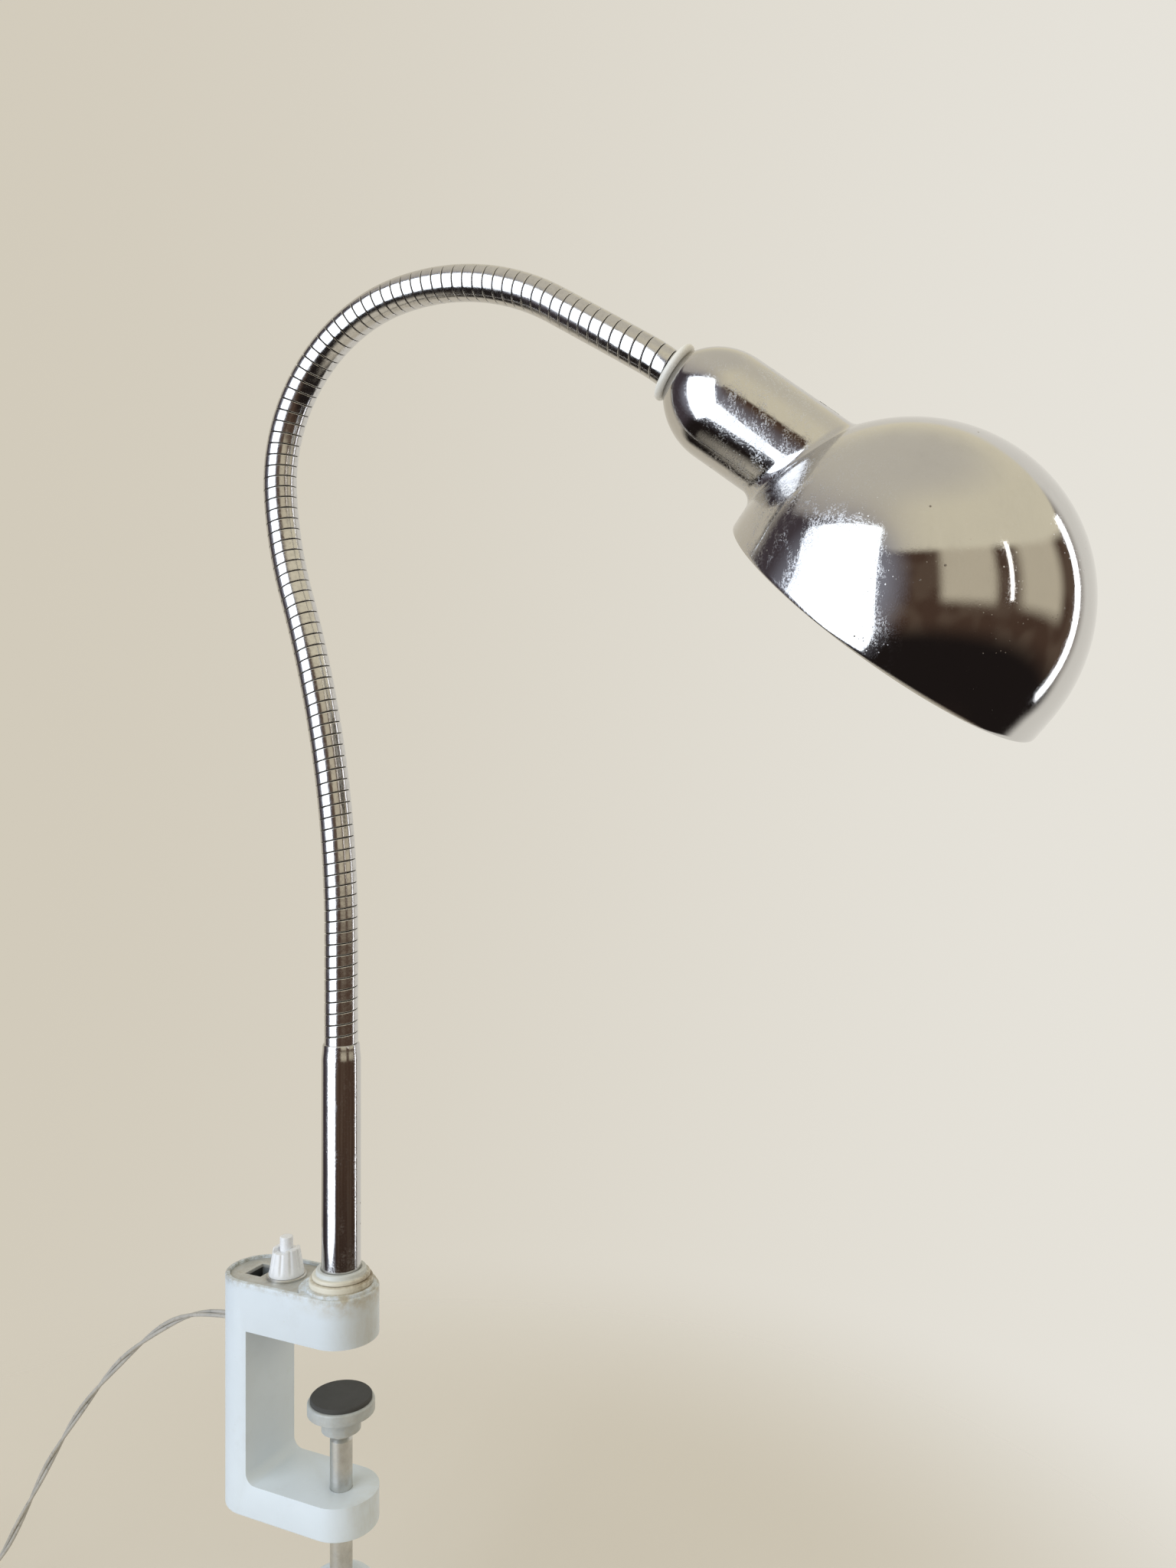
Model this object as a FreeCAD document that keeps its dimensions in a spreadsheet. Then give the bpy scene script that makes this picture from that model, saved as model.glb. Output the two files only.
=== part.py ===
"""Clamp-on gooseneck desk lamp, in millimetres.

The origin is where the column's axis meets the seat of the upper jaw, the face that
rests on the table top. +Z points up, and +X points out over the table, along the jaws.
"""
import FreeCAD, Part
import math
import os

import Sketcher

Vector = FreeCAD.Vector
Placement = FreeCAD.Placement
Rotation = FreeCAD.Rotation

UP = Vector(0, 0, 1)
SIDEWAYS = Vector(0, 1, 0)
HEADWARDS = Vector(1, 0, 0)

SHEET_NAME = "Size"

# Driving dimensions, in millimetres and degrees
SIZES = {
    # clamp body: a rounded bar in plan, with a jaw gap cut through it
    "nose_radius": 13.5,
    "back_centre": 35.5,
    "jaw_height": 17.3,
    "spine_face": 32.0,
    "jaw_opening": 55.0,
    "lower_jaw_height": 12.0,
    "jaw_corner_radius": 4.0,
    "outer_edge_round": 0.6,
    "rim_width": 1.6,
    "recess_depth": 2.2,
    "pocket_floor": 2.5,
    "boss_clear_radius": 15.0,
    "boss_radius": 12.6,
    "boss_rise": 1.0,
    "well_back": 40.0,
    "well_front": 32.8,
    "well_half_width": 5.0,
    "well_floor": 8.0,
    "channel_half_width": 2.5,
    "channel_floor": 7.0,
    "cord_hole_drop": 3.0,
    "grommet_radius": 3.0,
    "grommet_flange": 1.5,
    # top plate
    "plate_thickness": 1.2,
    "plate_play": 0.1,
    # push switch
    "switch_back": 24.6,
    "switch_body_radius": 6.6,
    "switch_body_floor": 6.0,
    "switch_neck_radius": 4.9,
    "switch_neck_top": 22.3,
    "washer_radius": 7.3,
    "washer_thickness": 1.0,
    "nut_base_radius": 6.45,
    "nut_top_radius": 5.15,
    "nut_height": 11.5,
    "nut_thread_depth": 6.0,
    "nut_flute_radius": 1.1,
    "nut_slot_depth": 1.3,
    "nut_slot_width": 5.6,
    "button_radius": 2.4,
    "button_rise": 4.0,
    "button_foot": 13.6,
    "button_bore_floor": 8.0,
    # column: a chromed tube that turns in a flanged bush
    "tube_radius": 7.0,
    "tube_wall": 0.9,
    "tube_foot": 3.5,
    "tube_top": 104.3,
    "tube_swage": 6.0,
    "tube_lip_radius": 6.45,
    "bush_radius": 9.0,
    "bush_play": 0.05,
    "bush_foot": 5.5,
    "bush_flange_radius": 11.35,
    "bush_flange": 2.5,
    "collar_radius": 10.25,
    "collar_height": 3.0,
    "collar_gap": 0.1,
    "clip_radius": 8.7,
    # clamp screw, swivel pad and knob
    "pad_top_drop": 22.0,
    "liner_radius": 11.0,
    "liner_thickness": 1.5,
    "pad_radius": 12.0,
    "pad_thickness": 4.0,
    "pad_boss_radius": 7.0,
    "pad_boss_height": 6.5,
    "ball_radius": 4.5,
    "ball_play": 0.1,
    "ball_depth": 8.0,
    "screw_radius": 4.0,
    "screw_play": 0.05,
    "screw_neck_radius": 3.0,
    "knob_top_drop": 86.5,
    "knob_height": 15.0,
    "knob_radius": 13.0,
    "knob_flute_radius": 3.2,
    # gooseneck: strip-wound hose, cut into links that bend on hidden balls
    "hose_radius": 6.0,
    "hose_groove_radius": 5.5,
    "hose_bore_radius": 4.2,
    "hose_pitch": 4.1,
    "hose_groove_half": 0.35,
    "link_turns": 20.0,
    "joint_gap": 2.2,
    "joint_ball_radius": 4.7,
    "joint_socket_radius": 5.0,
    "joint_bore_radius": 3.2,
    "hose_in_tube": 12.0,
    "ring_station": 407.0,
    "hose_end_station": 408.95,
    # head: ring, socket cover and shade, on the lampholder's axis
    "head_roll": 20.0,
    "ring_radius": 9.35,
    "ring_bore_radius": 6.2,
    "ring_thickness": 2.3,
    "cover_radius": 17.5,
    "cover_wall": 0.8,
    "cover_shoulder_radius": 23.35,
    "cover_shoulder_end": 20.0,
    "cover_flat_radius": 8.0,
    "slot_start": 43.5,
    "slot_width": 0.9,
    "slot_eye_length": 2.6,
    "slot_eye_width": 2.0,
    "shade_radius": 57.5,
    "shade_wall": 0.8,
    "shade_skirt": 7.0,
    "shade_reach": 100.6,
    "shade_offset": 19.4,
    "collar_fillet": 4.2,
    "collar_rise": 4.5,
    "sleeve_length": 10.0,
    "bead_radius": 0.75,
    # lampholder and lamp
    "nipple_radius": 5.0,
    "nipple_flange_radius": 7.5,
    "holder_radius": 13.2,
    "holder_bore": 11.2,
    "holder_back": 16.0,
    "holder_length": 30.0,
    "shell_radius": 7.7,
    "shell_wall": 0.45,
    "lamp_cap_radius": 6.95,
    "lamp_contact": 23.5,
    "lamp_radius": 22.5,
    "lamp_neck_radius": 8.6,
    "lamp_wall": 0.7,
    "lamp_length": 80.5,
    # two-core cord
    "cord_radius": 1.5,
    "tie_width": 4.0,
    "tie_thickness": 0.4,
    "tie_play": 0.3,
    "plug_length": 36.0,
    "plug_width": 26.0,
    "plug_height": 13.5,
    "pin_radius": 2.0,
    "pin_length": 19.0,
    "pin_spacing": 19.0,
}

# The neck's centreline from the top of the tube: the length of each run, how far it
# turns, and whether it turns in the lamp's plane or out of it. Positive in-plane turns
# bend the neck forwards.
IN_PLANE = "in plane"
SIDE = "side"
NECK_RUNS = [
    (38.0, 0.0, IN_PLANE),
    (126.0, -18.4, IN_PLANE),
    (39.0, 14.9, IN_PLANE),
    (91.0, 85.7, IN_PLANE),
    (64.0, 41.0, IN_PLANE),
    (15.0, 0.0, IN_PLANE),
    (24.0, 7.3, SIDE),
    (4.0, 4.6, IN_PLANE),
    (6.0, 7.0, SIDE),
    (3.0, 0.0, IN_PLANE),
]
LINK_COUNT = 4

# The cord's free route behind the clamp, down to the surface below, point by point
SURFACE_DROP = 150.0
CORD_ROUTE = [
    (-50.5, 0.0, -3.0),
    (-67.0, 0.0, -4.0),
    (-91.0, 1.0, -17.5),
    (-119.0, 3.0, -42.0),
    (-145.0, 4.0, -74.0),
    (-166.0, 4.0, -109.0),
    (-180.0, 3.0, -134.0),
    (-194.0, 1.5, -146.0),
    (-216.0, 0.0, -147.8),
    (-235.0, 0.0, -147.8),
]
TAIL_ROUTE = [
    (-241.0, -2.0, -136.1),
    (-255.0, -2.0, -137.2),
    (-270.0, -5.0, -140.3),
    (-281.0, -14.5, -143.0),
    (-285.0, -28.0, -143.25),
    (-285.0, -40.0, -143.25),
]
COIL_CENTRE = (-238.0, -24.0)
COIL_OUTER = 24.0
COIL_STEP = 2.0
COIL_LAYER_RISE = 3.9
COIL_TURNS_IN_LAYER = 6
COIL_LAYERS = 4
COIL_LEAD = 3.0
PLUG_REAR = (-285.0, -40.0)


class Length:
    """A size as a number, with the sheet expression that it comes from."""

    def __init__(self, number, text):
        self.number = float(number)
        self.text = text

    def __add__(self, other):
        other = as_length(other)
        return Length(self.number + other.number, f"({self.text} + {other.text})")

    def __sub__(self, other):
        other = as_length(other)
        return Length(self.number - other.number, f"({self.text} - {other.text})")

    def __rsub__(self, other):
        return as_length(other) - self

    def __mul__(self, factor):
        return Length(self.number * factor, f"({self.text} * {factor})")

    def __neg__(self):
        return Length(-self.number, f"(-1 * {self.text})")


def as_length(value):
    """A plain number as a Length; a Length as it is."""
    if isinstance(value, Length):
        return value
    return Length(value, f"({value})")


def leg(hypotenuse, other):
    """The third side of a right triangle."""
    number = math.sqrt(hypotenuse.number ** 2 - other.number ** 2)
    return Length(number, f"sqrt(({hypotenuse.text})^2 - ({other.text})^2)")


class Sizes:
    """The driving dimensions: a sheet in the document, and one Length for each cell."""

    def __init__(self, document):
        sheet = document.addObject("Spreadsheet::Sheet", SHEET_NAME)
        for row, (name, value) in enumerate(SIZES.items(), start=1):
            sheet.set(f"A{row}", name)
            sheet.set(f"B{row}", str(value))
            sheet.setAlias(f"B{row}", name)
            setattr(self, name, Length(value, f"{SHEET_NAME}.{name}"))
        document.recompute()


DOC = FreeCAD.newDocument("GooseneckLamp")
S = Sizes(DOC)
PARTS = []


def bind(item, prop, size):
    """Tie a property to the sheet, or set it where the size is a plain number."""
    if isinstance(size, Length):
        item.setExpression(prop, size.text)
    else:
        setattr(item, prop, size)


def new_body(label, placement=None):
    """An empty body whose label names its file."""
    body = DOC.addObject("PartDesign::Body", label)
    body.Label = label
    if placement is not None:
        body.Placement = placement
    PARTS.append(body)
    return body


def new_sketch(body, plane, offset=None):
    """A sketch on one of the body's own planes, moved along the plane's normal."""
    sketch = body.newObject("Sketcher::SketchObject", f"{body.Label}_sketch")
    support = next(item for item in body.Origin.OriginFeatures if item.Role == plane)
    sketch.AttachmentSupport = [(support, "")]
    sketch.MapMode = "FlatFace"
    if offset is not None:
        offset = as_length(offset)
        sketch.AttachmentOffset = Placement(Vector(0, 0, offset.number), Rotation())
        sketch.setExpression("AttachmentOffset.Base.z", offset.text)
    return sketch


def pin_point(sketch, geometry, end, x, y):
    """Fix a point of the sketch at a place given by two sizes."""
    for kind, axis, size in (("DistanceX", -2, x), ("DistanceY", -1, y)):
        size = as_length(size)
        if size.number == 0:
            sketch.addConstraint(Sketcher.Constraint("PointOnObject", geometry, end, axis))
        else:
            index = sketch.addConstraint(
                Sketcher.Constraint(kind, -1, 1, geometry, end, size.number))
            sketch.setExpression(f"Constraints[{index}]", size.text)


def draw_circle(sketch, x, y, radius):
    """A full circle with its centre and radius tied to sizes."""
    radius = as_length(radius)
    centre = Vector(as_length(x).number, as_length(y).number, 0)
    item = sketch.addGeometry(Part.Circle(centre, UP, radius.number), False)
    pin_point(sketch, item, 3, x, y)
    index = sketch.addConstraint(Sketcher.Constraint("Radius", item, radius.number))
    sketch.setExpression(f"Constraints[{index}]", radius.text)


def arc_between(start, end, radius):
    """The shorter arc from start to end: it turns left if radius is above 0."""
    middle = (start + end) * 0.5
    chord = end - start
    half = chord.Length / 2
    rise = math.sqrt(max(radius * radius - half * half, 0.0))
    left = Vector(-chord.y, chord.x, 0).normalize()
    centre = middle + left * math.copysign(rise, radius)
    first, last = (start, end) if radius > 0 else (end, start)
    angles = [math.atan2(point.y - centre.y, point.x - centre.x) for point in (first, last)]
    return Part.ArcOfCircle(Part.Circle(centre, UP, abs(radius)), angles[0], angles[1])


def draw_outline(sketch, corners):
    """A closed outline. A corner is (x, y), or (x, y, radius) where an arc leaves it."""
    points = [Vector(as_length(c[0]).number, as_length(c[1]).number, 0) for c in corners]
    ends = []
    for place, corner in enumerate(corners):
        start, end = points[place], points[(place + 1) % len(points)]
        if len(corner) == 2:
            item = sketch.addGeometry(Part.LineSegment(start, end), False)
            ends.append((item, 1, 2))
            continue
        radius = as_length(corner[2])
        item = sketch.addGeometry(arc_between(start, end, radius.number), False)
        ends.append((item, 1, 2) if radius.number > 0 else (item, 2, 1))
        size = radius if radius.number > 0 else -radius
        index = sketch.addConstraint(Sketcher.Constraint("Radius", item, size.number))
        sketch.setExpression(f"Constraints[{index}]", size.text)
    for place, (item, first, last) in enumerate(ends):
        after, after_first, _ = ends[(place + 1) % len(ends)]
        sketch.addConstraint(Sketcher.Constraint("Coincident", item, last, after, after_first))
        pin_point(sketch, item, first, corners[place][0], corners[place][1])


def draw_box(sketch, left, bottom, right, top):
    """A rectangle between four sizes."""
    draw_outline(sketch, [(left, bottom), (right, bottom), (right, top), (left, top)])


def pad(body, sketch, length, symmetric=False):
    """Raise a sketch into a solid."""
    feature = body.newObject("PartDesign::Pad", f"{body.Label}_pad")
    feature.Profile = sketch
    feature.SideType = "Symmetric" if symmetric else "One side"
    bind(feature, "Length", length)
    sketch.Visibility = False
    return feature


def volume_of(body):
    """The body's volume once the document is up to date."""
    DOC.recompute()
    return body.Shape.Volume


def pocket(body, sketch, length=None, symmetric=False, backwards=False):
    """Cut a sketch out of the body, all the way through if no length is given."""
    before = volume_of(body)
    feature = body.newObject("PartDesign::Pocket", f"{body.Label}_pocket")
    feature.Profile = sketch
    feature.SideType = "Symmetric" if symmetric else "One side"
    feature.Reversed = backwards
    if length is None:
        feature.Type = "ThroughAll"
    else:
        bind(feature, "Length", length)
    if volume_of(body) >= before - 1e-6:
        raise RuntimeError(f"{body.Label}: {feature.Name} cuts nothing")
    return feature


def turn(body, corners):
    """Revolve an outline, given as (radius, height), about the body's own Z axis."""
    sketch = new_sketch(body, "XZ_Plane")
    draw_outline(sketch, corners)
    feature = body.newObject("PartDesign::Revolution", f"{body.Label}_turned")
    feature.Profile = sketch
    feature.ReferenceAxis = (sketch, ["V_Axis"])
    feature.Angle = 360.0
    return feature


def turned_body(label, corners, placement=None):
    """A body that is one revolved outline."""
    body = new_body(label, placement)
    turn(body, corners)
    return body


def edges_where(shape, test):
    """Names of the edges whose middle point passes the test."""
    names = []
    for number, edge in enumerate(shape.Edges, start=1):
        middle = edge.valueAt((edge.FirstParameter + edge.LastParameter) / 2)
        if test(middle, edge):
            names.append(f"Edge{number}")
    return names


def dress(body, kind, size, test):
    """A Fillet or a Chamfer on the edges that pass the test."""
    DOC.recompute()
    base = body.Tip
    local = base.Shape.copy()
    names = edges_where(local, test)
    if not names:
        raise RuntimeError(f"{body.Label}: no edge to dress")
    feature = body.newObject(f"PartDesign::{kind}", f"{body.Label}_{kind}")
    feature.Base = (base, names)
    bind(feature, "Radius" if kind == "Fillet" else "Size", size)
    return feature


def polar(body, feature, count):
    """Repeat a feature about the body's Z axis."""
    pattern = body.newObject("PartDesign::PolarPattern", f"{body.Label}_pattern")
    pattern.Originals = [feature]
    axis = next(item for item in body.Origin.OriginFeatures if item.Role == "Z_Axis")
    pattern.Axis = (axis, [""])
    pattern.Angle = 360.0
    pattern.Occurrences = count
    body.Tip = pattern
    return pattern


def shaped_part(label, shape, placement=None):
    """A sub-part whose solid is worked out below from the sheet's sizes."""
    item = DOC.addObject("Part::Feature", label)
    item.Label = label
    item.Shape = shape
    if placement is not None:
        item.Placement = placement
    PARTS.append(item)
    return item


def primitive(kind, name, placement=None, **sizes):
    """A Part primitive with its sizes tied to the sheet."""
    item = DOC.addObject(f"Part::{kind}", name)
    for prop, size in sizes.items():
        bind(item, prop, size)
    if placement is not None:
        item.Placement = placement
    return item


def fused(name, *items):
    """One solid from several."""
    item = DOC.addObject("Part::MultiFuse", name)
    item.Shapes = list(items)
    item.Refine = True
    return item


def cut(name, base, tool):
    """One solid less another."""
    item = DOC.addObject("Part::Cut", name)
    item.Base = base
    item.Tool = tool
    return item


def common(name, *items):
    """What several solids share."""
    item = DOC.addObject("Part::MultiCommon", name)
    item.Shapes = list(items)
    return item


# Clamp

def stadium(radius, back, first=None):
    """Corners of a bar in plan with a round nose at the column and a round back."""
    return [
        (0, -radius, radius),
        (radius, 0, radius),
        (0, radius),
        (-back, radius, radius),
        (-back - radius, 0, radius),
        (-back, -radius),
    ]


def plate_outline(radius, clear_radius, back):
    """Corners of the recess behind the nose, which bends round the column's boss."""
    front = leg(clear_radius, radius)
    return [
        (-front, -radius, -clear_radius),
        (-front, radius),
        (-back, radius, radius),
        (-back - radius, 0, radius),
        (-back, -radius),
    ]


def clamp_body():
    """The C-shaped clamp: upper jaw, spine and lower jaw, with the wiring pockets."""
    body = new_body("clamp_body")
    bottom = -(S.jaw_opening + S.lower_jaw_height)
    plan = new_sketch(body, "XY_Plane", bottom)
    draw_outline(plan, stadium(S.nose_radius, S.back_centre))
    pad(body, plan, S.jaw_opening + S.lower_jaw_height + S.jaw_height)

    gap = new_sketch(body, "XZ_Plane")
    reach = S.nose_radius + 10
    draw_outline(gap, [
        (-S.spine_face, 0),
        (-S.spine_face, -(S.jaw_opening - S.jaw_corner_radius), S.jaw_corner_radius),
        (-(S.spine_face - S.jaw_corner_radius), -S.jaw_opening),
        (reach, -S.jaw_opening),
        (reach, 0),
    ])
    pocket(body, gap, S.nose_radius * 4, symmetric=True)

    rim = S.jaw_height
    boss = new_sketch(body, "XY_Plane", rim)
    draw_circle(boss, 0, 0, S.boss_radius)
    pad(body, boss, S.boss_rise)

    recess = new_sketch(body, "XY_Plane", rim)
    inner = S.nose_radius - S.rim_width
    draw_outline(recess, plate_outline(inner, S.boss_clear_radius, S.back_centre))
    pocket(body, recess, S.recess_depth)

    floor = rim - S.recess_depth
    bore = new_sketch(body, "XY_Plane", rim + S.boss_rise)
    draw_circle(bore, 0, 0, S.bush_radius)
    pocket(body, bore, rim + S.boss_rise - S.pocket_floor)

    cavity = new_sketch(body, "XY_Plane", floor)
    draw_circle(cavity, -S.switch_back, 0, S.switch_body_radius + 0.9)
    pocket(body, cavity, floor - S.pocket_floor)

    well = new_sketch(body, "XY_Plane", floor)
    draw_box(well, -S.well_back, -S.well_half_width, -S.well_front, S.well_half_width)
    pocket(body, well, floor + S.well_floor)

    channel = new_sketch(body, "XY_Plane", floor)
    draw_box(channel, -(S.well_front + 2), -S.channel_half_width, -S.bush_radius + 1,
             S.channel_half_width)
    pocket(body, channel, floor - S.channel_floor)

    outlet = new_sketch(body, "YZ_Plane", -(S.well_back - 2))
    draw_circle(outlet, 0, -S.cord_hole_drop, S.grommet_radius)
    pocket(body, outlet, S.nose_radius)

    thread = new_sketch(body, "XY_Plane", -S.jaw_opening)
    draw_circle(thread, 0, 0, S.screw_radius + S.screw_play)
    pocket(body, thread, S.lower_jaw_height)

    top = S.jaw_height.number
    low = bottom.number

    def outer_rim(middle, edge):
        on_level = abs(middle.z - top) < 1e-3 or abs(middle.z - low) < 1e-3
        nearest = min(max(middle.x, -S.back_centre.number), 0.0)
        reach = math.hypot(middle.x - nearest, middle.y)
        return on_level and abs(reach - S.nose_radius.number) < 1e-3

    dress(body, "Fillet", S.outer_edge_round, outer_rim)
    return body


def top_plate():
    """The inset plate that carries the switch, open over the cable well."""
    body = new_body("top_plate")
    floor = S.jaw_height - S.recess_depth
    plan = new_sketch(body, "XY_Plane", floor)
    radius = S.nose_radius - S.rim_width - S.plate_play
    draw_outline(plan, plate_outline(radius, S.boss_clear_radius + S.plate_play,
                                     S.back_centre))
    pad(body, plan, S.plate_thickness)
    top = floor + S.plate_thickness
    hole = new_sketch(body, "XY_Plane", top)
    draw_circle(hole, -S.switch_back, 0, S.switch_neck_radius + S.plate_play)
    pocket(body, hole, S.plate_thickness)
    opening = new_sketch(body, "XY_Plane", top)
    draw_box(opening, -S.well_back, -(S.well_half_width - 0.3), -S.well_front,
             S.well_half_width)
    pocket(body, opening, S.plate_thickness)
    return body


def cord_grommet():
    """The ring that the cord leaves the back of the clamp through."""
    depth = S.back_centre + S.nose_radius - S.well_back
    placement = Placement(Vector(-S.well_back.number, 0, -S.cord_hole_drop.number),
                          Rotation(SIDEWAYS, -90))
    return turned_body("cord_grommet", [
        (S.cord_radius + 0.1, 0),
        (S.grommet_radius, 0),
        (S.grommet_radius, depth),
        (S.grommet_radius + 0.9, depth),
        (S.grommet_radius + 0.9, depth + S.grommet_flange - 0.6),
        (S.grommet_radius + 0.3, depth + S.grommet_flange),
        (S.cord_radius, depth + S.grommet_flange),
        (S.cord_radius, depth + S.grommet_flange - 0.6),
        (S.cord_radius + 0.1, depth + S.grommet_flange - 0.6),
    ], placement)


# Switch

def at_switch():
    """Where the switch stands on the top plate."""
    return Placement(Vector(-S.switch_back.number, 0, 0), Rotation())


def plate_top():
    """Height of the top plate's upper face."""
    return S.jaw_height - S.recess_depth + S.plate_thickness


def switch_body():
    """The moulded body below the plate with the threaded neck through it."""
    shoulder = S.jaw_height - S.recess_depth
    bore = S.button_radius + 0.08
    return turned_body("switch_body", [
        (0, S.switch_body_floor),
        (S.switch_body_radius, S.switch_body_floor),
        (S.switch_body_radius, shoulder),
        (S.switch_neck_radius, shoulder),
        (S.switch_neck_radius, S.switch_neck_top - 0.4),
        (S.switch_neck_radius - 0.4, S.switch_neck_top),
        (bore, S.switch_neck_top),
        (bore, S.button_bore_floor),
        (0, S.button_bore_floor),
    ], at_switch())


def switch_terminals():
    """Two brass tabs under the switch, one solid each."""
    width, thick, drop = 2.8, 0.5, 2.6
    tabs = []
    for side in (-1, 1):
        corner = Vector(-width / 2, side * 3.2 - thick / 2, S.switch_body_floor.number - drop)
        tabs.append(Part.makeBox(width, thick, drop, corner))
    return shaped_part("switch_terminals", Part.makeCompound(tabs), at_switch())


def switch_washer():
    """The plated washer under the nut, with its small locating tab."""
    body = new_body("switch_washer", at_switch())
    low = plate_top()
    plan = new_sketch(body, "XY_Plane", low)
    draw_circle(plan, 0, 0, S.washer_radius)
    draw_circle(plan, 0, 0, S.switch_neck_radius + 0.1)
    pad(body, plan, S.washer_thickness)
    high = (low + S.washer_thickness).number

    def upper_rim(middle, edge):
        return abs(middle.z - high) < 1e-3 and math.hypot(middle.x, middle.y) > 7

    dress(body, "Chamfer", 0.35, upper_rim)
    return body


def switch_nut():
    """The tall conical nut, fluted, with a slot across its crown."""
    base = plate_top() + S.washer_thickness
    top = base + S.nut_height
    body = new_body("switch_nut", at_switch())
    turn(body, [
        (S.switch_neck_radius + 0.05, base),
        (S.nut_base_radius, base),
        (S.nut_base_radius, base + 0.9),
        (S.nut_top_radius, top - 0.8),
        (S.nut_top_radius - 0.8, top),
        (S.button_radius + 0.1, top),
        (S.button_radius + 0.1, base + S.nut_thread_depth),
        (S.switch_neck_radius + 0.05, base + S.nut_thread_depth),
    ])
    flute = new_sketch(body, "XY_Plane", top)
    draw_circle(flute, S.nut_base_radius + 0.25, 0, S.nut_flute_radius)
    groove = pocket(body, flute, S.nut_height - 1.6)
    polar(body, groove, 10)
    slot = new_sketch(body, "XY_Plane", top)
    half = S.nut_slot_width * 0.5
    draw_box(slot, -half, -S.nut_base_radius, half, S.nut_base_radius)
    pocket(body, slot, S.nut_slot_depth)
    return body


def switch_button():
    """The push button, which slides in the switch's neck."""
    top = plate_top() + S.washer_thickness + S.nut_height + S.button_rise
    return turned_body("switch_button", [
        (0, S.button_foot),
        (S.button_radius, S.button_foot),
        (S.button_radius, top - 0.4),
        (S.button_radius - 0.4, top),
        (0, top),
    ], at_switch())


def button_spring():
    """The spring under the button, five turns of fine six-sided wire."""
    wire, turns = 0.22, 5
    low = S.button_bore_floor.number + wire + 0.02
    high = S.button_foot.number - wire - 0.02
    radius = S.button_radius.number - 0.5
    helix = Part.makeHelix((high - low) / turns, high - low, radius)
    section = Part.makePolygon([
        Vector(radius + wire * math.cos(turned), 0, wire * math.sin(turned))
        for turned in (math.radians(60 * corner) for corner in range(7))
    ])
    coil = Part.Wire(helix.Edges).makePipeShell([section], True, True)
    lifted = at_switch().multiply(Placement(Vector(0, 0, low), Rotation()))
    return shaped_part("button_spring", coil, lifted)


# Column

def tube_bush():
    """The flanged bush, pressed into the boss, in which the tube turns."""
    seat = S.jaw_height + S.boss_rise
    bore = S.tube_radius + S.bush_play
    return turned_body("tube_bush", [
        (bore, S.bush_foot),
        (S.bush_radius, S.bush_foot),
        (S.bush_radius, seat),
        (S.bush_flange_radius, seat),
        (S.bush_flange_radius, seat + S.bush_flange - 0.8, 0.8),
        (S.bush_flange_radius - 0.8, seat + S.bush_flange),
        (bore, seat + S.bush_flange),
    ])


def column_tube():
    """The straight chromed tube, drawn in at the top round the hose."""
    inner = S.tube_radius - S.tube_wall
    return turned_body("column_tube", [
        (inner, S.tube_foot),
        (S.tube_radius, S.tube_foot),
        (S.tube_radius, S.tube_top - S.tube_swage),
        (S.tube_lip_radius + 0.15, S.tube_top - 0.9),
        (S.tube_lip_radius, S.tube_top),
        (inner, S.tube_top),
    ])


def column_collar():
    """The ring on the tube that rides on the bush."""
    foot = S.jaw_height + S.boss_rise + S.bush_flange + S.collar_gap
    top = foot + S.collar_height
    return turned_body("column_collar", [
        (S.tube_radius, foot),
        (S.collar_radius, foot),
        (S.collar_radius, top - 1.2, 1.2),
        (S.collar_radius - 1.2, top),
        (S.tube_radius + 0.5, top),
        (S.tube_radius, top - 0.5),
    ])


def column_clip():
    """The retaining ring under the bush that keeps the tube in."""
    top = S.bush_foot - S.collar_gap
    return turned_body("column_clip", [
        (S.tube_radius, top - 1.1),
        (S.clip_radius, top - 1.1),
        (S.clip_radius, top),
        (S.tube_radius, top),
    ])


# Clamp screw

def pad_liner():
    """The soft disc that bears on the underside of the table."""
    foot = -(S.pad_top_drop + S.liner_thickness)
    return turned_body("pad_liner", [
        (0, foot),
        (S.liner_radius, foot),
        (S.liner_radius, -S.pad_top_drop - 0.4),
        (S.liner_radius - 0.4, -S.pad_top_drop),
        (0, -S.pad_top_drop),
    ])


def swivel_pad():
    """The pad, with a socket that holds the end of the screw."""
    top = -(S.pad_top_drop + S.liner_thickness)
    under = top - S.pad_thickness
    foot = under - S.pad_boss_height
    ball = -(S.pad_top_drop + S.ball_depth)
    socket = S.ball_radius + S.ball_play
    mouth = S.screw_neck_radius + 0.6
    drop = leg(socket, mouth)
    return turned_body("swivel_pad", [
        (0, ball + socket, -socket),
        (socket, ball, -socket),
        (mouth, ball - drop),
        (mouth, foot),
        (S.pad_boss_radius, foot),
        (S.pad_boss_radius, under),
        (S.pad_radius, under),
        (S.pad_radius, top - 0.8, 0.8),
        (S.pad_radius - 0.8, top),
        (0, top),
    ])


def clamp_screw():
    """The screw, with a ball at the top and a plain shaft for the thread."""
    ball = -(S.pad_top_drop + S.ball_depth)
    drop = leg(S.ball_radius, S.screw_neck_radius)
    foot = -S.knob_top_drop
    return turned_body("clamp_screw", [
        (0, foot),
        (S.screw_radius, foot),
        (S.screw_radius, ball - 7.5),
        (S.screw_neck_radius, ball - 6.5),
        (S.screw_neck_radius, ball - drop, S.ball_radius),
        (S.ball_radius, ball, S.ball_radius),
        (0, ball + S.ball_radius),
    ])


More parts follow.
